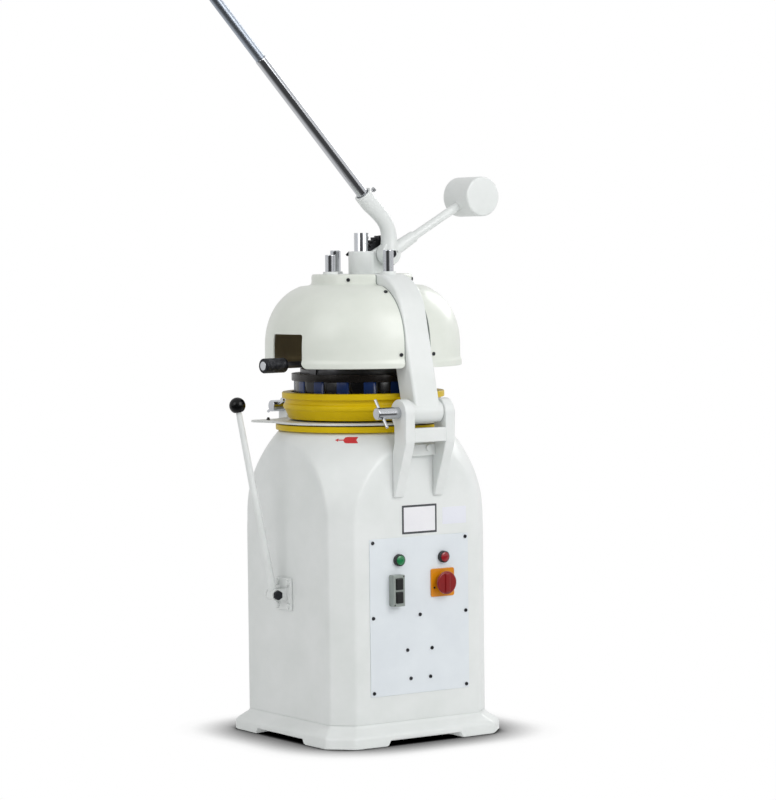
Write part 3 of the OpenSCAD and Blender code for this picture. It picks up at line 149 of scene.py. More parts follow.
def tone_group():
    tree, source, sink = new_group(
        "tone", [("Light", "Color", (1, 1, 1, 1)), ("Dark", "Color", (0.5, 0.5, 0.5, 1)),
                 ("Scale", "Float", TONE_SCALE)], [("Color", "Color")])
    coords = add_node(tree, "TexCoord")
    noise = add_node(tree, "TexNoise", Detail=5, Roughness=0.6)
    spread = add_range(tree, 0.35, 0.7)
    mix = add_mix(tree)
    wire(tree, (coords, "Object", noise, "Vector"), (source, "Scale", noise, "Scale"),
         (noise, "Fac", spread, "Value"), (spread, "Result", mix, "Factor"), (source, "Light", mix, "A"),
         (source, "Dark", mix, "B"), (mix, "Result", sink, "Color"))
    return tree


def wear_group():
    tree, source, sink = new_group(
        "edge_wear", [("Radius", "Float", WEAR_RADIUS), ("Amount", "Float", 0.5)], [("Mask", "Float")])
    geometry = add_node(tree, "NewGeometry")
    bevel = add_node(tree, "Bevel")
    bevel.samples = 4
    dot = add_node(tree, "VectorMath", "DOT_PRODUCT")
    edge = add_range(tree, 0.985, 0.86)
    coords = add_node(tree, "TexCoord")
    noise = add_node(tree, "TexNoise", Scale=90, Detail=4)
    patch = add_range(tree, 0.48, 0.62)
    both = add_node(tree, "Math", "MULTIPLY")
    scaled = add_node(tree, "Math", "MULTIPLY")
    wire(tree, (source, "Radius", bevel, "Radius"), (bevel, "Normal", dot, 0), (geometry, "Normal", dot, 1),
         (dot, "Value", edge, "Value"), (coords, "Object", noise, "Vector"), (noise, "Fac", patch, "Value"),
         (edge, "Result", both, 0), (patch, "Result", both, 1), (both, 0, scaled, 0),
         (source, "Amount", scaled, 1), (scaled, 0, sink, "Mask"))
    return tree


def reflection_stripe_group():
    """Painted reflection: a dark stripe on every sixteenth of a turn round Z, standing for studio strips
    mirrored in glossy plastic.
    """
    tree, _, sink = new_group("painted_reflection_stripes", [], [("Mask", "Float")])
    coords = add_node(tree, "TexCoord")
    split = add_node(tree, "SeparateXYZ")
    angle = add_node(tree, "Math", "ARCTAN2")
    count = set_inputs(add_node(tree, "Math", "MULTIPLY"), {1: REFLECTION_STRIPE_COUNT})
    wave = add_node(tree, "Math", "SINE")
    side = set_inputs(add_node(tree, "Math", "GREATER_THAN"), {1: REFLECTION_STRIPE_LEVEL})
    wire(tree, (coords, "Object", split, 0), (split, "Y", angle, 0), (split, "X", angle, 1),
         (angle, 0, count, 0), (count, 0, wave, 0), (wave, 0, side, 0), (side, 0, sink, "Mask"))
    return tree


GRAIN = grain_group()
TONE = tone_group()
WEAR = wear_group()
PAINTED_REFLECTION_STRIPES = reflection_stripe_group()


def colour(shown):
    """A display colour, 0 to 255, as a linear colour."""
    def channel(value):
        share = value / 255
        return share / 12.92 if share <= 0.04045 else ((share + 0.055) / 1.055) ** 2.4
    return (*(channel(value) for value in shown), 1)


def use_group(tree, group, **values):
    node = add_node(tree, "Group")
    node.node_tree = group
    return set_inputs(node, values)


def lay_over(tree, under, mask, shown):
    """Lays a colour over the colour that a socket puts out, where the mask is."""
    mix = add_mix(tree)
    mix.inputs["B"].default_value = colour(shown)
    wire(tree, (mask, "Mask", mix, "Factor"))
    tree.links.new(under, mix.inputs["A"])
    return mix.outputs["Result"]


def surface(name, light, dark, rough, grain, metallic=0, coat=0, stretch=(1, 1, 1), worn=None, wear=0.6,
            shine=0.5, painted_reflection=None):
    """A finish: two tones, fine grain, varied roughness, and where asked painted reflection stripes and worn
    edges.
    """
    material = bpy.data.materials.new(name)
    material.use_nodes = True
    tree = material.node_tree
    shader = set_inputs(tree.nodes["Principled BSDF"], {
        "Metallic": metallic, "Coat Weight": coat, "Specular IOR Level": shine, "Coat Roughness": 0.12})
    tone = use_group(tree, TONE, Light=colour(light), Dark=colour(dark), Scale=TONE_SCALE)
    fine = use_group(tree, GRAIN, Scale=grain[0], Strength=grain[1], Stretch=stretch)
    gloss = add_range(tree, 0.3, 0.7, *rough)
    wire(tree, (fine, "Mask", gloss, "Value"), (gloss, "Result", shader, "Roughness"),
         (fine, "Normal", shader, "Normal"))
    top = tone.outputs["Color"]
    # Dark stripes by angle round Z: painted reflection
    if painted_reflection:
        top = lay_over(tree, top, use_group(tree, PAINTED_REFLECTION_STRIPES), painted_reflection)
    if worn:
        top = lay_over(tree, top, use_group(tree, WEAR, Radius=WEAR_RADIUS, Amount=wear), worn)
    tree.links.new(top, shader.inputs["Base Color"])
    return material


# Finishes: light and dark tone, range of roughness, scale and strength of the grain
PAINT = surface("body_paint", (228, 231, 230), (220, 224, 222), (0.3, 0.4), (260, 0.05), coat=0.12,
                worn=(202, 204, 198), wear=0.3)
PANEL_PAINT = surface("panel_paint", (224, 230, 234), (217, 223, 228), (0.32, 0.42), (400, 0.04), coat=0.1,
                      worn=(202, 204, 206), wear=0.3)
COVER = surface("cover_paint", (225, 229, 221), (217, 222, 213), (0.28, 0.38), (260, 0.05), coat=0.15,
                worn=(205, 205, 192), wear=0.3)
YELLOW = surface("yellow_paint", (212, 182, 0), (200, 170, 0), (0.34, 0.44), (240, 0.05), coat=0.04,
                 shine=0.16, worn=(170, 138, 30), wear=0.5)
STEEL = surface("zinc_steel", (190, 192, 195), (168, 170, 174), (0.28, 0.42), (700, 0.05), metallic=1)
RING_STEEL = surface("ring_steel", (112, 112, 114), (88, 88, 91), (0.3, 0.45), (700, 0.05), metallic=0.9,
                     worn=(150, 151, 154))
CHROME = surface("chrome", (206, 208, 212), (188, 191, 196), (0.08, 0.16), (300, 0.015), metallic=1)
BRUSHED = surface("brushed_rod", (186, 194, 204), (160, 168, 180), (0.3, 0.42), (900, 0.08), metallic=1,
                  stretch=(1, 0.2, 0.2))
TABLE_METAL = surface("table_metal", (226, 228, 226), (208, 211, 209), (0.3, 0.45), (800, 0.05),
                      metallic=0.2, worn=(160, 162, 162))
DARK_STEEL = surface("dark_steel", (52, 53, 57), (34, 35, 38), (0.32, 0.5), (600, 0.08), metallic=0.8,
                     worn=(120, 121, 124), wear=0.7)
IRON = surface("cast_iron", (98, 100, 103), (74, 76, 79), (0.5, 0.7), (220, 0.2), metallic=0.4)
FLANGE = surface("flange_metal", (34, 29, 26), (22, 19, 17), (0.24, 0.36), (500, 0.06), metallic=0.3,
                 shine=0.4, worn=(112, 100, 90))
BRONZE = surface("bronze", (186, 142, 84), (150, 108, 58), (0.3, 0.42), (500, 0.05), metallic=1)
RUBBER = surface("belt_rubber", (40, 40, 41), (28, 28, 29), (0.6, 0.8), (700, 0.15))
BLACK = surface("black_plastic", (10, 10, 11), (4, 4, 5), (0.14, 0.22), (300, 0.02), shine=0.22)
MATT_BLACK = surface("matt_black", (36, 36, 38), (24, 24, 26), (0.42, 0.6), (900, 0.12))
GREY = surface("grey_plastic", (146, 154, 149), (130, 138, 133), (0.35, 0.5), (900, 0.08))
# Navy press blocks: the near-black stripes laid over them are painted reflections
NAVY = surface("navy_plastic", (24, 52, 108), (14, 32, 74), (0.14, 0.24), (500, 0.03), shine=0.35,
               painted_reflection=(8, 8, 11))
# Inner face of the covers: their cream paint coloured dark olive, painted shade inside the dome
COVER_INSIDE_PAINTED_SHADE = surface("cover_inside_painted_shade", (150, 136, 102), (122, 109, 80), (0.6, 0.8), (200, 0.1))
GREEN = surface("green_lens", (26, 128, 74), (14, 96, 52), (0.1, 0.18), (200, 0.03), coat=0.6)
RED = surface("red_lens", (148, 14, 28), (116, 8, 18), (0.1, 0.18), (200, 0.03), coat=0.6)
AMBER = surface("amber_plastic", (222, 142, 12), (206, 124, 4), (0.25, 0.35), (700, 0.05), coat=0.2)
KNOB_RED = surface("knob_red", (138, 14, 16), (112, 8, 10), (0.28, 0.38), (700, 0.05), coat=0.2)
ARROW_RED = surface("arrow_red", (206, 48, 50), (190, 36, 40), (0.4, 0.5), (600, 0.03))
PLATE = surface("bare_plate", (240, 240, 243), (232, 232, 237), (0.3, 0.4), (900, 0.06), metallic=0.1,
                stretch=(1, 0.1, 1))
LABEL = surface("bare_label", (228, 230, 238), (222, 224, 233), (0.3, 0.4), (900, 0.05))
PLATE_RIM = surface("plate_rim", (74, 76, 80), (62, 64, 68), (0.4, 0.5), (900, 0.05))
KEY_BLACK = surface("key_black", (27, 29, 29), (18, 19, 19), (0.28, 0.4), (900, 0.06))
MOTOR = surface("motor_paint", (84, 96, 108), (66, 77, 88), (0.4, 0.55), (300, 0.1))


# Mesh tools
def rounded(points, radius=0.0, steps=4):
    """A closed outline with its corners rounded; a point can carry its own radius as a third number."""
    out = []
    for i, point in enumerate(points):
        corner = Vector(point[:2])
        size = point[2] if len(point) > 2 else radius
        back = Vector(points[i - 1][:2]) - corner
        ahead = Vector(points[(i + 1) % len(points)][:2]) - corner
        angle = back.angle(ahead, math.pi)
        if size <= 0 or angle > math.pi - 0.02:
            out.append(corner)
            continue
        cut = min(size / math.tan(angle / 2), 0.49 * back.length, 0.49 * ahead.length)
        start = corner + back.normalized() * cut
        end = corner + ahead.normalized() * cut
        for k in range(steps + 1):
            t = k / steps
            out.append(start * (1 - t) ** 2 + corner * 2 * t * (1 - t) + end * t ** 2)
    return [(p[0], p[1]) for p in out]


def arc(cx, cy, radius, start, end, steps):
    """Points on an arc, in degrees."""
    angles = [math.radians(start + (end - start) * i / steps) for i in range(steps + 1)]
    return [(cx + radius * math.cos(a), cy + radius * math.sin(a)) for a in angles]


def whole_turn(steps):
    return [2 * math.pi * k / steps for k in range(steps)]


def polar(radius, angle):
    return radius * math.cos(angle), radius * math.sin(angle)


def join_rows(bm, low, high):
    """Faces between two closed rows of points; a row of one point is a pole."""
    count = max(len(low), len(high))
    for i in range(count):
        j = (i + 1) % count
        loop = [low[i % len(low)], low[j % len(low)], high[j % len(high)], high[i % len(high)]]
        loop = list(dict.fromkeys(loop))
        if len(loop) > 2:
            bm.faces.new(loop)


def join_all(bm, rows):
    """Faces from each row to the next."""
    for low, high in zip(rows, rows[1:]):
        join_rows(bm, low, high)


def lathe(profile, segments=96, closed=False):
    """A profile of (radius, height) turned round Z."""
    bm = bmesh.new()
    rows = []
    for radius, height in profile:
        if radius < 1e-6:
            rows.append([bm.verts.new((0, 0, height))])
            continue
        rows.append([bm.verts.new((*polar(radius, a), height)) for a in whole_turn(segments)])
    join_all(bm, rows + rows[:1] if closed else rows)
    return bm


def rod(radius, start, end, edge=1.0, segments=48, steps=4):
    """A round bar along Z with rounded ends."""
    profile = [(0, start), (radius, start, edge), (radius, end, edge), (0, end)]
    return lathe(rounded(profile, 0, steps), segments)


def tube(inner, outer, start, end, edge, segments):
    """A round pipe along Z with rounded outer edges."""
    profile = [(inner, start), (outer, start, edge), (outer, end, edge), (inner, end)]
    return lathe(rounded(profile), segments, closed=True)


def face_out(bm):
    bmesh.ops.recalc_face_normals(bm, faces=bm.faces)


def soften(bm, width, steps=2):
    """Rounds every edge sharper than 30 degrees."""
    face_out(bm)
    sharp = [e for e in bm.edges if len(e.link_faces) == 2 and e.calc_face_angle(0) > math.radians(30)]
    if width > 0 and sharp:
        bmesh.ops.bevel(bm, geom=sharp, offset=width, segments=steps, profile=0.5, affect="EDGES",
                        clamp_overlap=True)
    return bm


def prism(outline, low, high, edge=0.0, steps=2):
    """An outline in XY raised along Z, with rounded edges."""
    bm = bmesh.new()
    bottom = [bm.verts.new((x, y, low)) for x, y in outline]
    top = [bm.verts.new((x, y, high)) for x, y in outline]
    bm.faces.new(bottom[::-1])
    bm.faces.new(top)
    join_rows(bm, bottom, top)
    return soften(bm, edge, steps)


def block(low, high, edge=1.0, steps=2):
    """A box between two corners, with rounded edges."""
    outline = [(low[0], low[1]), (high[0], low[1]), (high[0], high[1]), (low[0], high[1])]
    return prism(outline, low[2], high[2], edge, steps)


def sweep(path, radii, segments=32):
    """A round bar of changing radius along a path."""
    bm = bmesh.new()
    points = [Vector(p) for p in path]
    rows = []
    side = Vector((1, 0, 0))
    for i, point in enumerate(points):
        along = (points[min(i + 1, len(points) - 1)] - points[max(i - 1, 0)]).normalized()
        side = (side - along * side.dot(along)).normalized()
        other = along.cross(side)
        spokes = [side * math.cos(a) + other * math.sin(a) for a in whole_turn(segments)]
        rows.append([bm.verts.new(point + spoke * radii[i]) for spoke in spokes])
    join_all(bm, rows)
    bm.faces.new(rows[0][::-1])
    bm.faces.new(rows[-1])
    return bm


def moved(bm, *matrices):
    """The mesh after the matrices, the last one first."""
    total = Matrix.Identity(4)
    for matrix in matrices:
        total = total @ matrix
    bmesh.ops.transform(bm, matrix=total, verts=bm.verts)
    return bm


def shift(x=0, y=0, z=0):
    return Matrix.Translation((x, y, z))


def turn(axis, degrees):
    return Matrix.Rotation(math.radians(degrees), 4, axis)


# Outline planes: XZ outlines rise along -Y, YZ outlines along +X
XZ = Matrix(((1, 0, 0, 0), (0, 0, -1, 0), (0, 1, 0, 0), (0, 0, 0, 1)))
YZ = Matrix(((0, 0, 1, 0), (1, 0, 0, 0), (0, 1, 0, 0), (0, 0, 0, 1)))
ALONG_X = turn("Y", 90)
ALONG_Y = turn("X", -90)


def mesh_from(name, bm):
    mesh = bpy.data.meshes.new(name)
    bm.to_mesh(mesh)
    bm.free()
    return mesh


def piece(name, parts, body, material, nodes=(), crisp=40):
    """One object from meshes in millimetres, riding on a body and standing for CAD nodes."""
    whole = bmesh.new()
    for bm in parts if isinstance(parts, (list, tuple)) else [parts]:
        face_out(bm)
        scratch = mesh_from("scratch", bm)
        whole.from_mesh(scratch)
        bpy.data.meshes.remove(scratch)
    bmesh.ops.scale(whole, vec=(MM, MM, MM), verts=whole.verts)
    for face in whole.faces:
        face.smooth = True
    for edge in whole.edges:
        edge.smooth = len(edge.link_faces) == 2 and edge.calc_face_angle(0) < math.radians(crisp)
    mesh = mesh_from(name, whole)
    mesh.materials.append(material)
    made = add_object(name, mesh)
    normals = made.modifiers.new("normals", "WEIGHTED_NORMAL")
    normals.keep_sharp = True
    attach(made, body)
    if nodes:
        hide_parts(*nodes)
    return made


def ease(made, width, degrees):
    """A modifier that rounds the edges sharper than an angle."""
    edge = made.modifiers.new("edge", "BEVEL")
    edge.width = width * MM
    edge.segments = 3
    edge.limit_method = "ANGLE"
    edge.angle_limit = math.radians(degrees)
    edge.harden_normals = True


# Base: plinth and casing as rows of rounded cut squares
ROW_STEPS = 640
ROW_BLEND = 150
BODY_HALF = 256
BODY_CHAMFER = 53
PLINTH_HALF = 286
PLINTH_CHAMFER = 58
PLINTH_H = 58
PLINTH_LIP = 24
PLINTH_OPENING = 186
FOOT_GAP_H = 14
FOOT_GAP_HALF = 118
FOOT_GAP_BLEND = 10
PLINTH_EDGE = 3
NECK_Z = 832
NECK_R = 206
NECK_TURN_IN = 12
SHOULDER_Z = 582
SHOULDER_R = 370
CORNER_R = math.hypot(BODY_HALF, BODY_HALF - BODY_CHAMFER) + 0.5


def cut_square_radius(angle, half, chamfer, round_r=None):
    """Distance to a square with cut corners, its corners rounded; round_r also limits it to a circle."""
    c = abs(math.cos(angle))
    s = abs(math.sin(angle))
    limits = [half / max(c, 1e-6), half / max(s, 1e-6), (2 * half - chamfer) / (c + s)]
    if round_r:
        limits.append(round_r)
    near = min(limits)
    return near * sum((near / limit) ** ROW_BLEND for limit in limits) ** (-1 / ROW_BLEND)


def cut_square_row(bm, half, chamfer, height, round_r=None):
    row = []
    for angle in whole_turn(ROW_STEPS):
        x, y = polar(cut_square_radius(angle, half, chamfer, round_r), angle)
        z = height(x, y) if callable(height) else height
        row.append(bm.verts.new((x, y, z)))
    return row


def foot_height(x, y):
    """Underside of the plinth: feet at the corners, raised in between."""
    along = min(abs(x), abs(y))
    share = min(max((FOOT_GAP_HALF - along) / FOOT_GAP_BLEND + 0.5, 0), 1)
    return FOOT_GAP_H * share * share * (3 - 2 * share)


def make_plinth():
    bm = bmesh.new()
    rows = [cut_square_row(bm, PLINTH_OPENING, 2, PLINTH_H),
            cut_square_row(bm, PLINTH_OPENING, 2, foot_height),
            cut_square_row(bm, PLINTH_HALF - PLINTH_EDGE, PLINTH_CHAMFER, foot_height),
            cut_square_row(bm, PLINTH_HALF, PLINTH_CHAMFER, lambda x, y: foot_height(x, y) + PLINTH_EDGE),
            cut_square_row(bm, PLINTH_HALF, PLINTH_CHAMFER, PLINTH_LIP - PLINTH_EDGE)]
    steps = 14
    for i in range(steps + 1):
        t = i / steps
        share = (1 + math.cos(math.pi * t)) / 2
        half = BODY_HALF + (PLINTH_HALF - BODY_HALF) * share
        chamfer = BODY_CHAMFER + (PLINTH_CHAMFER - BODY_CHAMFER) * share
        rows.append(cut_square_row(bm, half, chamfer, PLINTH_LIP + (PLINTH_H - PLINTH_LIP) * t))
    join_all(bm, rows + rows[:1])
    piece("plinth_casting", bm, "base", PAINT, ["plinth"], crisp=50)


def shoulder_radius(z):
    return CORNER_R - SHOULDER_R + math.sqrt(SHOULDER_R ** 2 - (z - SHOULDER_Z) ** 2)


def make_casing():
    bm = bmesh.new()
    rows = [cut_square_row(bm, BODY_HALF - 1.5, BODY_CHAMFER, PLINTH_H, 2 * CORNER_R)]
    for z in (PLINTH_H + 2, 200, 400, SHOULDER_Z - 20):
        rows.append(cut_square_row(bm, BODY_HALF, BODY_CHAMFER, z, 2 * CORNER_R))
    steps = 40
    for i in range(steps + 1):
        z = SHOULDER_Z + (NECK_Z - SHOULDER_Z) * i / steps
        rows.append(cut_square_row(bm, BODY_HALF, BODY_CHAMFER, z, shoulder_radius(z)))
    rows.append(cut_square_row(bm, BODY_HALF, BODY_CHAMFER, NECK_Z, NECK_R))
    rows.append(cut_square_row(bm, BODY_HALF, BODY_CHAMFER, NECK_Z - NECK_TURN_IN, NECK_R))
    join_all(bm, rows)
    piece("casing_shell", bm, "base", PAINT, ["body_casing"], crisp=60)


make_plinth()
make_casing()

# Ring on the neck
LOWER_RING_R = (205.3, 241)
LOWER_RING_TOP = 848
piece("lower_ring_paint", tube(*LOWER_RING_R, NECK_Z, LOWER_RING_TOP, 3, 160), "base", YELLOW, ["lower_ring"])

# Rounding table
TABLE_Z = 851
TABLE_TOP = 857
TABLE_R = 246
TABLE_HUB_R = 30
THROW = 8
EAR_ANGLE = 236
EAR_ROOT_HALF = 62
EAR_TIP = 287
EAR_TIP_R = 17
EAR_PIN = 257


def make_table():
    root = math.degrees(math.asin(EAR_ROOT_HALF / TABLE_R))
    outline = arc(0, 0, TABLE_R, root, 360 - root, 160) + arc(EAR_TIP, 0, EAR_TIP_R, -55, 55, 14)
    place = shift(-THROW) @ turn("Z", EAR_ANGLE)
    plate = moved(prism(outline, TABLE_Z, TABLE_TOP, 1.4), place)
    hub = moved(rod(TABLE_HUB_R, NECK_Z + 0.5, TABLE_Z + 1), shift(-THROW))
    piece("table_plate", [plate, hub], "rounding_table", TABLE_METAL, ["rounding_table"])
    stud = rounded([(0, -1), (5, -1), (5, 3.5, 0.6), (3.4, 4, 0.6), (3.4, 7, 1), (0, 7)])
    pin = moved(lathe(stud, 32), place, shift(EAR_PIN, 0, TABLE_TOP))
    piece("ear_pin", pin, "rounding_table", DARK_STEEL)


make_table()

# Moulding ring with its lugs
RING_Z = 862
RING_TOP = 935
RING_BORE = 198
RING_RIM = 223
LUG_TOP = 927
LUG_HALF = 38
LOCK_LUG_HALF = 40
LOCK_LUG_R = 26
LOCK_SLOT_R = 14.3
PIN_X = 285
PIN_Z = 887
ARM_LEAN = math.radians(13.6)
ARM_BEND = (114, 1131)
ARM_BEND_R = 124
ARM_FRONT = -155.5
ARM_TOP = 1255
ARM_T = 56
ARM_PROUD = 14
ARM_HALF = 40


def arm_edge(inset, steps=16):
    """The arm's outline from the front of its beam to the hub, set in from its outer edge."""
    radius = ARM_BEND_R - inset
    lean = math.degrees(ARM_LEAN)
    points = [(ARM_FRONT, ARM_BEND[1] + radius)] + arc(*ARM_BEND, radius, 90, lean, steps)
    last = points[-1]
    run = last[1] - PIN_Z
    return points + [(last[0] + run * math.tan(ARM_LEAN), PIN_Z)]


def leg_inner_x(z):
    foot = arm_edge(ARM_T)[-1]
    return foot[0] - (z - foot[1]) * math.tan(ARM_LEAN)


def make_moulding_ring():
    bead = arc(210, 896, 10, -62, 62, 10)
    rim = rounded([(214.6, 917.4), (RING_RIM, 918, 3), (RING_RIM, RING_TOP, 3.5), (214, RING_TOP)])
    profile = [(RING_BORE, RING_Z), (203, RING_Z), (204.5, RING_Z + 2), (213.4, RING_Z + 22)] + bead
    profile += [(214, 908), (213.6, 910), (213.6, 915), (214.6, 917.4)] + rim[1:]
    profile += [(RING_BORE + 1, RING_TOP), (RING_BORE, RING_TOP - 1)]
    parts = [lathe(profile, 176, closed=True)]
    root = RING_BORE + 1
    lug = [(root, PIN_Z), (leg_inner_x(PIN_Z), PIN_Z), (leg_inner_x(LUG_TOP), LUG_TOP), (root, LUG_TOP)]
    parts.append(moved(prism(lug, -LUG_HALF, LUG_HALF, 3), XZ))
    flare = LOCK_SLOT_R + 2.5
    cheek = [(-root, RING_Z + 10), (-PIN_X + flare, PIN_Z - 24), (-PIN_X + LOCK_SLOT_R, PIN_Z)]
    cheek += arc(-PIN_X, PIN_Z, LOCK_SLOT_R, 0, 180, 12)[1:] + [(-PIN_X - flare, PIN_Z - 22)]
    cheek += arc(-PIN_X, PIN_Z, LOCK_LUG_R, 215, 90, 12) + [(-root, LUG_TOP)]
    parts.append(moved(prism(cheek, -LOCK_LUG_HALF, LOCK_LUG_HALF, 1.6), XZ))
    piece("moulding_ring_paint", parts, "head_frame", YELLOW, ["moulding_ring"])


make_moulding_ring()

# Forks with their pins
FORK_IN = 50
FORK_OUT = 80
FORK_FOOT = 660
FORK_BEND = 808
FORK_TOE = 8
FORK_BACK = 9
FORK_BAR_T = 21
FORK_BAR_TOP = 846
FORK_PAD_T = 14
FORK_PAD_Z = (768, 800)
HINGE_EAR_R = 36
LOCK_EAR_R = 24
PIN_R = 14
PIN_HEAD_R = 16
PIN_BAR_R = 4
PIN_BAR_HALF = 46


def fork_parts(ear_r):
    tip = PIN_X + ear_r
    wall = BODY_HALF
    back = wall + FORK_BACK
    leg = [(wall, FORK_FOOT), (wall + FORK_TOE, FORK_FOOT, 4), (tip, FORK_BEND, 30), (tip, PIN_Z)]
    leg += arc(PIN_X, PIN_Z, ear_r, 0, 210, 24)
    leg += [(back, 850, 10), (back, FORK_BEND, 8), (wall, 780)]
    parts = []
    for low in (FORK_IN, -FORK_OUT):
        parts.append(moved(prism(rounded(leg, 0, 5), -low - FORK_OUT + FORK_IN, -low, 3.5, 3), XZ))
    reach = FORK_IN + 2
    low, high = FORK_PAD_Z
    parts.append(block((tip - FORK_BAR_T, -reach, FORK_BEND), (tip - 0.5, reach, FORK_BAR_TOP), 3.5, 3))
    parts.append(block((wall, -reach, low), (wall + FORK_PAD_T, reach, high), 2.5, 3))
    return parts


piece("hinge_fork", fork_parts(HINGE_EAR_R), "base", PAINT, ["hinge_bracket"])
mirror = [moved(bm, Matrix.Scale(-1, 4, (1, 0, 0))) for bm in fork_parts(LOCK_EAR_R)]
piece("lock_fork", mirror, "base", PAINT, ["lock_bracket"])


def bar_pin(name, x, bar_angle, handle, node):
    front = -FORK_OUT - handle
    ear = -FORK_OUT - 0.1
    end = FORK_OUT + 6
    profile = [(0, front), (PIN_HEAD_R, front, 2.5), (PIN_HEAD_R, ear, 1), (PIN_R, ear), (PIN_R, end, 1.5)]
    body = moved(lathe(rounded(profile + [(0, end)]), 56), shift(x, 0, PIN_Z), ALONG_Y)
    bar = rod(PIN_BAR_R, -PIN_BAR_HALF, PIN_BAR_HALF, 2.5, 28)
    bar = moved(bar, shift(x, front + PIN_HEAD_R, PIN_Z), turn("Y", -bar_angle), ALONG_X)
    piece(name, [body, bar], node, CHROME, [node])


bar_pin("hinge_bar_pin", PIN_X, bar_angle=128, handle=70, node="hinge_pin")
bar_pin("lock_bar_pin", -PIN_X, bar_angle=23, handle=40, node="lock_pin")


# Arm and hub
HUB_R = 30
HUB_BORE = 19
CROWN_R = 132


def make_arm():
    edge = arm_edge(0, 20)
    outline = edge[:1] + [(x + ARM_PROUD, z) for x, z in edge[1:]] + arm_edge(ARM_T, 20)[::-1]
    beam = moved(prism(outline, -ARM_HALF, ARM_HALF, 7, 4), XZ)
    crown = rod(CROWN_R, ARM_TOP - 50, ARM_TOP - 6, 2, 128)
    half = FORK_IN - 0.5
    hub = moved(tube(HUB_BORE, HUB_R, -half, half, 4, 64), shift(PIN_X, 0, PIN_Z), ALONG_Y)
    piece("swing_arm", [beam, crown, hub], "head_frame", PAINT, ["head_arm"])


make_arm()

# Domed covers
COVER_R = 268
COVER_Z = 1004
DOME_CX = 110
DOME_Z = 1056
DOME_B = 176
DOME_FULLNESS = 2.2
CAP_R = 138
CAP_STEP = 1226
COVER_SPLIT = ARM_HALF + 2.4
SHEET = 4
CORNER = 15
SEAM_R = 158
SEAM_GAP = 1.0
WINDOW_HALF = 62
WINDOW_TOP = 1096
WINDOW_CORNER = 7
WINDOW_FLARE = 20
WINDOW_TURN = 5.5
WINDOW_DEPTH = (150, 330)
FLANGE_W = 60
FLANGE_TOP = 1214
FLANGE_SKIP = 4
POST_HOLE_R = 20.8
FRONT_POST_Y = -102


def dome_profile():
    lip = [(2.8, 0), (3.4, 0.6), (3.8, 2), (3.8, 4), (3.8, 7), (3.8, 10), (3.8, 13), (3.0, 16), (1.6, 19),
           (0.5, 22), (0, 26), (0, 40)]
    points = [(COVER_R + out, COVER_Z + rise) for out, rise in lip]
    steps = 30
    for i in range(steps + 1):
        z = DOME_Z + (CAP_STEP - 3 - DOME_Z) * math.sin(math.pi / 2 * i / steps) ** 0.8
        share = (1 - ((z - DOME_Z) / DOME_B) ** DOME_FULLNESS) ** (1 / DOME_FULLNESS)
        radius = DOME_CX + (COVER_R - DOME_CX) * share
        points.append((radius, z))
    cap = [(9, -1), (4, 1), (1.2, 4), (0, 8)]
    points += [(CAP_R + out, CAP_STEP + rise) for out, rise in cap]
    points += [(CAP_R, ARM_TOP - 7), (CAP_R - 1.2, ARM_TOP - 2.6), (CAP_R - 4, ARM_TOP), (90, ARM_TOP),
               (COVER_SPLIT + 1, ARM_TOP)]
    return points


def cover_edges(radius, z):
    """First and last angle of a cover: beside the arm with a rounded corner, and at the far seam."""
    drop = max(COVER_Z + CORNER - z, 0)
    inset = CORNER - math.sqrt(CORNER ** 2 - drop ** 2)
    first = -math.asin(min((COVER_SPLIT + inset) / radius, 1))
    gap = COVER_SPLIT if radius < SEAM_R else SEAM_GAP
    last = -math.pi + math.asin(min(gap / radius, 1))
    return first, last


def make_cover(name, node, side, window):
    bm = bmesh.new()
    columns = 72
    rows = []
    for radius, z in dome_profile():
        first, last = cover_edges(radius, z)
        angles = [first + (last - first) * k / columns for k in range(columns + 1)]
        rows.append([bm.verts.new((radius * math.cos(a), side * radius * math.sin(a), z)) for a in angles])
    for low, high in zip(rows, rows[1:]):
        for k in range(columns):
            bm.faces.new((low[k], low[k + 1], high[k + 1], high[k]))
    face_out(bm)
    made = piece(name, bm, "head_frame", COVER, [node], crisp=75)
    made.modifiers.clear()
    thick = made.modifiers.new("sheet", "SOLIDIFY")
    thick.thickness = SHEET * MM
    thick.offset = -1
    # The inner face takes the darker material, which is painted shade
    made.data.materials.append(COVER_INSIDE_PAINTED_SHADE)
    thick.material_offset = 1
    cutters = []
    if window:
        foot = WINDOW_HALF + WINDOW_FLARE
        right = arc(WINDOW_HALF - WINDOW_CORNER, WINDOW_TOP - WINDOW_CORNER, WINDOW_CORNER, 90, 0, 5)
        right += arc(foot, COVER_Z + WINDOW_FLARE, WINDOW_FLARE, 180, 270, 8) + [(foot, COVER_Z - 14)]
        outline = right + [(-x, z) for x, z in reversed(right)]
        cutters.append(moved(prism(outline, *WINDOW_DEPTH), turn("Z", WINDOW_TURN), XZ))
        cutters.append(moved(rod(POST_HOLE_R, ARM_TOP - 15, ARM_TOP + 15, 0), shift(0, FRONT_POST_Y)))
    for cutter in cutters:
        apply_cut(made, cutter)
    ease(made, 1.6, 50)


def apply_cut(made, cutter):
    """Cuts a shape out of a piece for good."""
    bmesh.ops.scale(cutter, vec=(MM, MM, MM), verts=cutter.verts)
    face_out(cutter)
    mesh = mesh_from("cutter", cutter)
    tool = add_object("cutter", mesh)
    cut = made.modifiers.new("cut", "BOOLEAN")
    cut.operation = "DIFFERENCE"
    cut.solver = "EXACT"
    cut.object = tool
    graph = bpy.context.evaluated_depsgraph_get()
    result = bpy.data.meshes.new_from_object(made.evaluated_get(graph))
    made.modifiers.clear()
    old = made.data
    made.data = result
    bpy.data.meshes.remove(old)
    bpy.data.objects.remove(tool)
    bpy.data.meshes.remove(mesh)


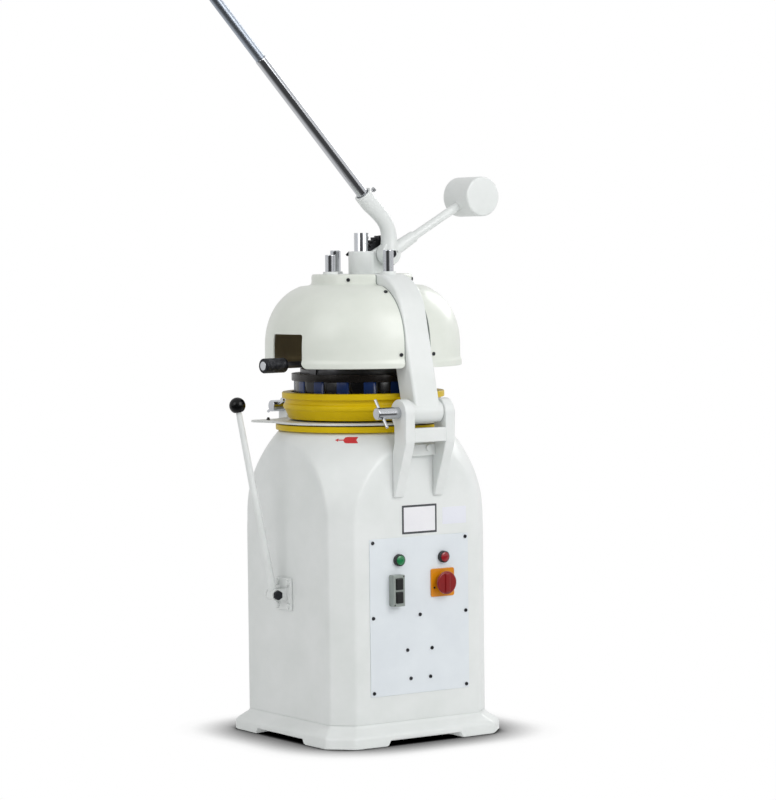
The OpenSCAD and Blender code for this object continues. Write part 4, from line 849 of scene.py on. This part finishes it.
def make_gap_shade_strip(name, side):
    """Grey strip sunk in the gap between a cover and the arm: painted shade that darkens the gap."""
    near = ARM_HALF + 0.05
    far = COVER_SPLIT + 0.3
    bm = bmesh.new()
    rows = []
    for radius, z in dome_profile():
        if radius < CAP_R - 2 or z < COVER_Z + CORNER:
            continue
        row = []
        for y, out in ((near, 0.2), (far, 0.2), (far, -3), (near, -3)):
            row.append(bm.verts.new((math.sqrt((radius + out) ** 2 - y ** 2), -side * y, z)))
        rows.append(row)
    join_all(bm, rows)
    bm.faces.new(rows[0])
    bm.faces.new(rows[-1])
    piece(name, bm, "head_frame", GREY)


def make_flange(name, side):
    """Flat edge of a cover that lies against the arm."""
    outer = []
    inner = []
    for radius, z in dome_profile():
        if radius < CAP_R + 4:
            break
        edge = math.sqrt(radius ** 2 - COVER_SPLIT ** 2) - 1
        low = max(z, COVER_Z + 2)
        outer.append((edge, low))
        inner.append((max(edge - FLANGE_W, leg_inner_x(z) - 6, CAP_R), min(low, FLANGE_TOP)))
    outline = outer[FLANGE_SKIP:] + inner[FLANGE_SKIP:][::-1]
    flat = moved(prism(outline, COVER_SPLIT, COVER_SPLIT + SHEET, 0.0), XZ)
    if side < 0:
        flat = moved(flat, Matrix.Scale(-1, 4, (0, 1, 0)))
    piece(name, flat, "head_frame", COVER)


make_cover("front_dome", "front_cover", 1, True)
make_cover("rear_dome", "rear_cover", -1, False)
# Grey strips that paint shade into the gaps beside the arm
make_gap_shade_strip("front_gap_shade", 1)
make_gap_shade_strip("rear_gap_shade", -1)
make_flange("front_cover_flange", 1)
make_flange("rear_cover_flange", -1)


# Pinion housing
PINION_Y = 62
PINION_Z = 1310
HOUSING_TOP = 1317
HOUSING_R = 36
HOUSING_BORE = 21
CHEEK_R = 26
CHEEK_T = 11
CHEEK_LOWS = (13, -24)


def make_housing():
    bore = HOUSING_BORE
    section = [(bore, ARM_TOP), (HOUSING_R, ARM_TOP), (HOUSING_R, HOUSING_TOP, 3), (bore, HOUSING_TOP, 1)]
    boss = lathe(rounded(section), 64, closed=True)
    back = PINION_Y + CHEEK_R
    outline = [(bore - 1, ARM_TOP), (back, ARM_TOP, 6), (back, PINION_Z)]
    outline += arc(PINION_Y, PINION_Z, CHEEK_R, 0, 100, 12) + [(bore - 1, HOUSING_TOP)]
    cheeks = [moved(prism(rounded(outline), low, low + CHEEK_T, 2), YZ) for low in CHEEK_LOWS]
    piece("pinion_casting", [boss] + cheeks, "head_frame", PAINT, ["pinion_housing"])
    head = rounded([(0, -8), (4, -8), (4, 0), (7, 0, 0.6), (7, 7, 1.2), (3.6, 7, 0.3), (3.6, 3), (0, 3)])
    away = math.degrees(math.atan2(-RIGHT.y, -RIGHT.x))
    screw = moved(lathe(head, 24), turn("Z", away), shift(34, 0, 1308), turn("Y", 45))
    piece("housing_screw", screw, "head_frame", DARK_STEEL)


make_housing()


# Press lever
LEVER_X = 42
LEVER_ANGLE = 48
MOUTH = (-22, 1473)
BAR_R = 16
GRIP_R = 14
GRIP_START = 482
GRIP_END = 852
BAR_END = 860
WEIGHT_R = 55
WEIGHT_HALF = 58
WEIGHT_REACH = 320
ALONG_LEVER = shift(LEVER_X, *MOUTH) @ turn("X", 90 - LEVER_ANGLE)
WEIGHT_ANGLE = 29
ALONG_WEIGHT = shift(LEVER_X, PINION_Y, PINION_Z) @ turn("X", WEIGHT_ANGLE - 90)


def bezier(points, steps):
    """Points along the Bezier curve of some control points."""
    out = []
    for i in range(steps + 1):
        level = [Vector(p) for p in points]
        t = i / steps
        while len(level) > 1:
            level = [a.lerp(b, t) for a, b in zip(level, level[1:])]
        out.append(level[0])
    return out


def make_lever():
    hub = moved(tube(12, 31, -16, 16, 4, 64), shift(LEVER_X, PINION_Y, PINION_Z), ALONG_X)
    back = ALONG_LEVER @ Vector((0, 0, -40))
    steps = 20
    bend = [(LEVER_X, y, z) for y, z in ((63, 1318), (64, 1362), (66, 1392), (40, 1412))]
    path = bezier(bend + [back], steps)
    radii = [24 - 3 * math.sin(math.pi * i / steps) for i in range(steps + 1)]
    neck = sweep(path, radii, 40)
    collar = [(0, -44), (23.7, -44), (24.6, -36, 2), (25, -2, 1), (25, 0, 2), (18.6, 0, 1), (18.6, -9)]
    socket = moved(lathe(rounded(collar + [(0, -9)]), 56), ALONG_LEVER)
    boss = moved(lathe(rounded([(0, 18), (19, 18, 0), (16, 96, 3), (0, 96)]), 48), ALONG_WEIGHT)
    piece("lever_casting", [hub, neck, socket, boss], "press_lever", PAINT, ["lever_socket"])
    bar = rounded([(0, -50), (BAR_R, -50), (BAR_R, GRIP_START - 4), (14.6, GRIP_START, 1), (10, GRIP_START),
                   (10, GRIP_END), (GRIP_R, GRIP_END), (11, BAR_END, 1), (0, BAR_END)])
    piece("lever_bar", moved(lathe(bar, 64), ALONG_LEVER), "press_lever", CHROME, ["lever_rod"])
    sleeve = tube(10, GRIP_R, GRIP_START + 0.4, GRIP_END - 0.4, 1, 64)
    piece("grip_tube", moved(sleeve, ALONG_LEVER), "press_lever", BRUSHED, ["grip_sleeve"])
    place = ALONG_LEVER @ shift(0, 0, -13) @ turn("Z", 78) @ ALONG_X
    shank = moved(rod(4, 20, 30, 0.5, 24), place)
    head = moved(lathe(rounded([(0, 29), (7, 29, 0.6), (7, 36, 1), (0, 36)]), 6), place)
    piece("socket_screw", [shank, head], "press_lever", STEEL)
    stem = moved(rod(12, 66, WEIGHT_REACH - 20), ALONG_WEIGHT)
    piece("weight_rod", stem, "press_lever", PAINT, ["counterweight_rod"])
    centre = ALONG_WEIGHT @ Vector((0, 0, WEIGHT_REACH))
    drum = moved(rod(WEIGHT_R, -WEIGHT_HALF, WEIGHT_HALF, 6, 80, 5), shift(*centre), ALONG_X)
    piece("weight_drum", drum, "press_lever", PAINT, ["counterweight"])


make_lever()


# Posts: place and top
POSTS = ((130, 0, 1320), (-130, 0, 1320), (0, FRONT_POST_Y, 1308))
POST_R = 14.5
POST_FOOT = 970


def make_posts():
    posts = []
    for x, y, top in POSTS:
        profile = rounded([(0, POST_FOOT), (POST_R, POST_FOOT), (POST_R, top, 2.4), (0, top)])
        posts.append(moved(lathe(profile, 56), shift(x, y)))
    piece("guide_post_bars", posts, "press_head", CHROME, ["guide_posts"])


make_posts()

# Cut lever's grip with turned grooves
CUT_ANGLE = 6.7
CUT_Z = 1014
CUT_END = -350
GRIP_GROOVES = 13
GROOVE_PITCH = 4.6


def make_cut_grip():
    profile = [(0, 0), (7, 0), (7.6, 1.2), (13, 1.2), (14, 0), (17.5, 0), (19.4, 1.4), (20, 3.2)]
    for i in range(GRIP_GROOVES):
        z = 6 + i * GROOVE_PITCH
        profile += [(20, z), (19.2, z + 0.9), (19.2, z + 1.5), (20, z + 2.4)]
    profile += [(20, 69.5), (18.6, 72), (9, 72), (9, 60), (0, 60)]
    place = turn("Z", CUT_ANGLE) @ shift(0, CUT_END, CUT_Z) @ ALONG_Y
    piece("cut_grip_knurl", moved(lathe(profile, 64), place), "cut_lever", DARK_STEEL, ["cut_grip"])
    cap = rounded([(0, -0.6), (12, -0.6, 0.6), (12, 2), (0, 2)])
    piece("cut_grip_end", moved(lathe(cap, 48), place), "cut_lever", CHROME)


make_cut_grip()

# Rounding lever
ROUND_X = -8
ROUND_Y = -295
ROUND_Z = 393
ROUND_LEAN = 11.5
ROUND_L = 526
BALL_R = 22
BALL_STEPS = 26
BEARING_FRONT = -264
BEARING_HALF_W = 38
BEARING_HALF_H = 44
BEARING_EAR_R = 16
BEARING_EAR_T = 8
BEARING_EAR_LOWS = (12.3, -20.3)
ON_ROUND = shift(ROUND_X, ROUND_Y, ROUND_Z) @ turn("X", ROUND_LEAN)


def make_rounding_lever():
    hub = moved(tube(8.1, 15, -12, 12, 2, 48), ON_ROUND, ALONG_X)
    bar = moved(lathe([(0, 7), (11.9, 7), (12, 10), (8, 500), (7.4, 505), (6, 512), (0, 512)], 48), ON_ROUND)
    piece("rounding_bar", [hub, bar], "rounding_lever", PAINT, ["rounding_lever"])
    ball = [(0, -14), (6, -14), (10, -14)] + arc(0, 0, BALL_R, -52, 90, BALL_STEPS)[:-1] + [(0, BALL_R)]
    knob = moved(lathe(ball, 64), ON_ROUND, shift(0, 0, ROUND_L))
    piece("ball_knob", knob, "rounding_lever", BLACK, ["lever_knob"])
    low = (ROUND_X - BEARING_HALF_W, BEARING_FRONT, ROUND_Z - BEARING_HALF_H)
    high = (ROUND_X + BEARING_HALF_W, -BODY_HALF, ROUND_Z + BEARING_HALF_H)
    plate = block(low, high, 2.5, 3)
    ear = [(-BODY_HALF, ROUND_Z + way * BEARING_EAR_R) for way in (-1, 1)]
    ear += arc(ROUND_Y, ROUND_Z, BEARING_EAR_R, 90, 270, 20)
    lows = [ROUND_X + low for low in BEARING_EAR_LOWS]
    ears = [moved(prism(ear, low, low + BEARING_EAR_T, 1.5), YZ) for low in lows]
    piece("lever_bearing", [plate] + ears, "base", PAINT, ["lever_bracket"])
    hexagon = arc(0, 0, 13.6, 0, 300, 5)
    pivot = shift(ROUND_X, ROUND_Y, ROUND_Z) @ ALONG_X
    head = moved(prism(hexagon, 20.3, 29.3, 1.2), pivot)
    shank = moved(rod(8, -23, 21), pivot)
    piece("pivot_bolt", [head, shank], "base", DARK_STEEL, ["lever_pivot_pin"])


make_rounding_lever()

# Switch panel
PANEL_FRONT = 258
PANEL_Y = 2.5
PANEL_Z = 341
PANEL_W = 322
PANEL_H = 422
PANEL_SCREWS = (151, 201)
LOW_SCREWS = ((-42, 248), (38, 248), (-32, 171), (32, 171))
LAMP_Z = 492
LAMP_Y = (-66, 79)
LENS_R = 13
LENS_RISE = (12, 15)


def yz_rect(cy, cz, w, h, radius):
    corners = ((-1, -1), (1, -1), (1, 1), (-1, 1))
    return rounded([(cy + side * w / 2, cz + rise * h / 2) for side, rise in corners], radius)


def plate_on(cy, cz, w, h, radius, back, front, edge):
    """A flat plate that faces +X."""
    return moved(prism(yz_rect(cy, cz, w, h, radius), back, front, edge), YZ)


def turned_on(front, places, profile, segments, closed=False):
    """Turned parts that stand on a face towards +X."""
    return [moved(lathe(profile, segments, closed), shift(front, y, z), ALONG_X) for y, z in places]


def make_panel():
    sheet = plate_on(PANEL_Y, PANEL_Z, PANEL_W, PANEL_H, 4, BODY_HALF, PANEL_FRONT, 0.7)
    piece("panel_sheet", sheet, "base", PANEL_PAINT, ["control_panel"])
    out, up = PANEL_SCREWS
    places = [(PANEL_Y + side * out, PANEL_Z + rise * up) for side in (-1, 1) for rise in (-1, 0, 1)]
    places += [(PANEL_Y, PANEL_Z)] + [(PANEL_Y + y, z) for y, z in LOW_SCREWS]
    profile = rounded([(0, -9), (2.4, -9), (2.4, 0), (5, 0, 0.4), (4.6, 3, 1), (2.4, 3, 0.2), (2.2, 1.2),
                       (0, 1.2)])
    screws = turned_on(PANEL_FRONT, places, profile, 24)
    piece("panel_screw_heads", screws, "base", DARK_STEEL, ["panel_screws"])
    flat, top = LENS_RISE
    bore = LENS_R + 0.1
    bezel = rounded([(bore, 0), (LENS_R + 3, 0), (LENS_R + 3, 10, 1.5), (14.2, flat, 0.8), (bore, flat)])
    lamps = [(y, LAMP_Z) for y in LAMP_Y]
    rims = turned_on(PANEL_FRONT, lamps, bezel, 56, closed=True)
    piece("lamp_rims", rims, "base", MATT_BLACK, ["lamp_bezels"])
    bulge = [math.radians(a) for a in range(10, 90, 10)]
    lens = [(0, -14), (10.8, -14), (10.8, 0), (LENS_R, 0), (LENS_R, flat)]
    lens += [(LENS_R * math.cos(a), flat + (top - flat) * math.sin(a)) for a in bulge] + [(0, top)]
    finishes = (("green_lamp", GREEN, "green_lens"), ("red_lamp", RED, "red_lens"))
    for place, (name, material, node) in zip(lamps, finishes):
        piece(name, turned_on(PANEL_FRONT, [place], lens, 48), "base", material, [node])


make_panel()

# Switches
BOX_Y = -79
BOX_Z = 412
BOX_W = 36
BOX_H = 84
BOX_FRONT = PANEL_FRONT + 23
BOX_FLOOR = BOX_FRONT - 18
KEY_W = 22
KEY_H = 30
KEY_PITCH = 36
KEY_GAP = 0.3
SWITCH_Y = 76
SWITCH_Z = 423
SWITCH_SIZE = 76
SWITCH_FRONT = PANEL_FRONT + 4
KNOB_R = 31


def make_button_box():
    parts = [plate_on(BOX_Y, BOX_Z, BOX_W, BOX_H, 4, PANEL_FRONT, BOX_FLOOR, 1.2)]
    out = BOX_W / 2
    up = BOX_H / 2
    side = KEY_W / 2 + KEY_GAP
    wide = side + 1
    reach = KEY_PITCH / 2 + KEY_H / 2 + KEY_GAP
    inner = KEY_PITCH / 2 - KEY_H / 2 - KEY_GAP
    spans = [(-out, -side, -up, up), (side, out, -up, up), (-wide, wide, -up, -reach),
             (-wide, wide, reach, up), (-wide, wide, -inner, inner)]
    for left, right, low, high in spans:
        corner = (BOX_FLOOR - 1, BOX_Y + left, BOX_Z + low)
        parts.append(block(corner, (BOX_FRONT, BOX_Y + right, BOX_Z + high), 1.2))
    piece("button_box", parts, "base", GREY, ["switch_box"])
    profile = rounded([(0, -3), (2.2, -3), (2.2, 0.5, 0.4), (0, 0.5)])
    places = [(BOX_Y + way * 14.6, BOX_Z + way * 38) for way in (1, -1)]
    piece("button_box_screws", turned_on(BOX_FRONT, places, profile, 20), "base", DARK_STEEL)
    for name, node, way in (("start_key", "start_button", 1), ("stop_key", "stop_button", -1)):
        z = BOX_Z + way * KEY_PITCH / 2
        low = (BOX_FLOOR + 4, BOX_Y - KEY_W / 2, z - KEY_H / 2)
        high = (BOX_FRONT + 4, BOX_Y + KEY_W / 2, z + KEY_H / 2)
        piece(name, block(low, high, 2.2, 3), node, KEY_BLACK, [node])


def make_main_switch():
    base = plate_on(SWITCH_Y, SWITCH_Z, SWITCH_SIZE, SWITCH_SIZE, 6, PANEL_FRONT, SWITCH_FRONT, 1.2)
    piece("switch_face", base, "base", AMBER, ["main_switch_plate"])
    recess = rounded([(0, -3), (3.2, -3), (3.2, 0.4, 0.3), (0, 0.4)])
    places = [(SWITCH_Y + way * 28, SWITCH_Z + way * 13) for way in (-1, 1)]
    piece("switch_face_screws", turned_on(SWITCH_FRONT, places, recess, 20), "base", DARK_STEEL)
    knob = rounded([(0, -6), (6, -6), (6, 0.1), (19, 0.1, 1), (19, 12, 2), (KNOB_R - 1.5, 14, 2),
                    (KNOB_R, 16, 1.5), (KNOB_R, 20, 2.5), (KNOB_R - 3, 22, 1.5), (0, 22)])
    turned = turned_on(SWITCH_FRONT, [(SWITCH_Y, SWITCH_Z)], knob, 72)
    low = (SWITCH_FRONT + 18, SWITCH_Y - 7.5, SWITCH_Z - 26)
    grip = block(low, (SWITCH_FRONT + 26, SWITCH_Y + 7.5, SWITCH_Z + 26), 3, 3)
    piece("switch_knob", turned + [grip], "main_switch", KNOB_RED, ["main_switch_knob"])


make_button_box()
make_main_switch()


# Bare places on the casing
PLATE_AT = (5, 598)
LABEL_AT = (120, 602)


def make_plates():
    wall = BODY_HALF
    piece("bare_plate_rim", plate_on(*PLATE_AT, 113, 77, 2, wall, wall + 0.9, 0.3), "base", PLATE_RIM)
    piece("bare_plate_face", plate_on(*PLATE_AT, 102, 66, 1.5, wall + 0.5, wall + 1.2, 0.2), "base", PLATE)
    piece("bare_label", plate_on(*LABEL_AT, 78, 46, 2, wall, wall + 0.5, 0.2), "base", LABEL)


# Red arrow that lies on the casing's shoulder
ARROW_Z = 814
ARROW_ANGLE = -44.6
ARROW_R = 240
ARROW_SLOPE = 0.85
ARROW_RISE = 0.35


def make_arrow():
    half = [(-31, 0), (-22, 5), (-22, 1.6), (-8, 1.6), (-4, 8), (2, 9.5), (31, 9.5), (26, 0)]
    shape = half + [(x, -y) for x, y in reversed(half[1:-1])]
    bm = bmesh.new()
    flat = bm.faces.new([bm.verts.new((x, y, 0)) for x, y in shape])
    bmesh.ops.triangulate(bm, faces=[flat])
    bmesh.ops.subdivide_edges(bm, edges=bm.edges, cuts=3, use_grid_fill=True)
    for vert in bm.verts:
        z = ARROW_Z + vert.co.y * ARROW_SLOPE
        angle = math.radians(ARROW_ANGLE) + vert.co.x / ARROW_R
        radius = cut_square_radius(angle, BODY_HALF, BODY_CHAMFER, shoulder_radius(z)) + ARROW_RISE
        vert.co = Vector((*polar(radius, angle), z))
    piece("turn_arrow", bm, "base", ARROW_RED)


make_plates()
make_arrow()

# CAD nodes that stay in view
KEPT = {
    "slide_ring": MATT_BLACK, "deck_plate": IRON, "deck_bolts": STEEL, "shaft_bearings": STEEL,
    "motor_bracket": STEEL, "motor_bolts": STEEL, "motor": MOTOR, "drive_belt": RUBBER, "contactor": GREY,
    "cable_gland": MATT_BLACK, "bracket_bolts": PAINT, "main_shaft": STEEL, "main_pulley": IRON,
    "motor_shaft": STEEL, "motor_pulley": IRON, "hinge_bushes": BRONZE, "cover_screws": DARK_STEEL,
    "guide_bushes": PAINT, "pinion": DARK_STEEL, "head_flange": FLANGE, "press_blocks": NAVY,
    "rack_post": CHROME, "knife_set": DARK_STEEL, "cut_ring": RING_STEEL,
}
for node, material in KEPT.items():
    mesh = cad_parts[node].data
    mesh.materials.clear()
    mesh.materials.append(material)

# Rounded edges on the CAD nodes that the eye meets
EASED = {"head_flange": 3, "press_blocks": 1.6, "bracket_bolts": 0.8, "cut_ring": 1.2, "cover_screws": 0.7,
         "rack_post": 0.8, "guide_bushes": 1, "slide_ring": 0.6, "cable_gland": 1, "pinion": 0.4,
         "knife_set": 0.4}
for node, width in EASED.items():
    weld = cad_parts[node].modifiers.new("weld", "WELD")
    weld.merge_threshold = 1e-5
    ease(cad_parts[node], width, 35)


# Floor, lamps and background, in metres
FLOOR_HALF = 30
FLOOR_Z = -0.0005
WHITE = (1, 1, 1, 1)
# Direction of the studio's dark side, which polished metal mirrors
DARK_SIDE = (TOWARD - RIGHT * 0.22 - UP * 0.1).normalized()


def by_ray(tree, seen, lit, mirrored, output):
    """Puts out what the camera sees, what lights the part and what polished metal mirrors."""
    rays = add_node(tree, "LightPath")
    glossy = add_node(tree, "MixShader")
    mix = add_node(tree, "MixShader")
    wire(tree, (rays, "Is Glossy Ray", glossy, "Fac"), (lit, 0, glossy, 1), (mirrored, 0, glossy, 2),
         (rays, "Is Camera Ray", mix, "Fac"), (glossy, 0, mix, 1), (seen, 0, mix, 2),
         (mix, 0, tree.nodes[output], "Surface"))


def make_floor():
    bm = bmesh.new()
    bmesh.ops.create_grid(bm, x_segments=1, y_segments=1, size=FLOOR_HALF)
    mesh = mesh_from("floor", bm)
    material = bpy.data.materials.new("floor")
    material.use_nodes = True
    tree = material.node_tree
    shader = set_inputs(tree.nodes["Principled BSDF"], {"Base Color": (0.9, 0.9, 0.9, 1), "Roughness": 0.9})
    # What the camera sees of the floor: white emission darkened by ambient occlusion, a painted contact
    # shadow round the machine
    shade = add_node(tree, "AmbientOcclusion", Distance=0.18)
    shade.samples = 24
    strong = set_inputs(add_node(tree, "Math", "POWER"), {1: 4})
    floor_painted_shadow = add_node(tree, "Emission", Strength=1)
    # What polished metal mirrors of the floor: emission that fades towards the camera side, painted light in
    # the floor's reflection
    coords = add_node(tree, "TexCoord")
    away = set_inputs(add_node(tree, "VectorMath", "DOT_PRODUCT"), {1: TOWARD})
    fade = add_range(tree, -0.2, 1.6, 0.8, 0.08, smooth=True)
    mirrored = add_node(tree, "Emission")
    wire(tree, (shade, "AO", strong, 0), (strong, 0, floor_painted_shadow, "Color"), (coords, "Object", away, 0),
         (away, "Value", fade, "Value"), (fade, "Result", mirrored, "Strength"))
    by_ray(tree, floor_painted_shadow, shader, mirrored, "Material Output")
    mesh.materials.append(material)
    floor = add_object("floor", mesh)
    floor.location = (0, 0, FLOOR_Z)


def make_world():
    world = bpy.data.worlds.new("studio")
    world.use_nodes = True
    tree = world.node_tree
    lit = set_inputs(tree.nodes["Background"], {"Color": WHITE, "Strength": 0.52})
    seen = add_node(tree, "Background", Color=WHITE, Strength=1)
    coords = add_node(tree, "TexCoord")
    facing = set_inputs(add_node(tree, "VectorMath", "DOT_PRODUCT"), {1: DARK_SIDE})
    studio = add_range(tree, 0.66, 0.96, 0.85, 0.07, smooth=True)
    mirrored = add_node(tree, "Background", Color=WHITE)
    wire(tree, (coords, "Generated", facing, 0), (facing, "Value", studio, "Value"),
         (studio, "Result", mirrored, "Strength"))
    by_ray(tree, seen, lit, mirrored, "World Output")
    bpy.context.scene.world = world


def area_light(name, place, aim, size, watts):
    """A square lamp that points at a height on the machine's axis."""
    data = bpy.data.lights.new(name, "AREA")
    data.size = size
    data.energy = watts
    lamp = add_object(name, data)
    lamp.location = place
    lamp.rotation_euler = (UP * aim - lamp.location).to_track_quat("-Z", "Y").to_euler()


make_floor()
make_world()
area_light("key", (4.2, 0.9, 3.2), aim=0.9, size=3, watts=104)
area_light("fill", (1, -4.6, 3.4), aim=0.9, size=3, watts=52)
area_light("back", (-1.5, 4, 3), aim=1, size=2, watts=40)
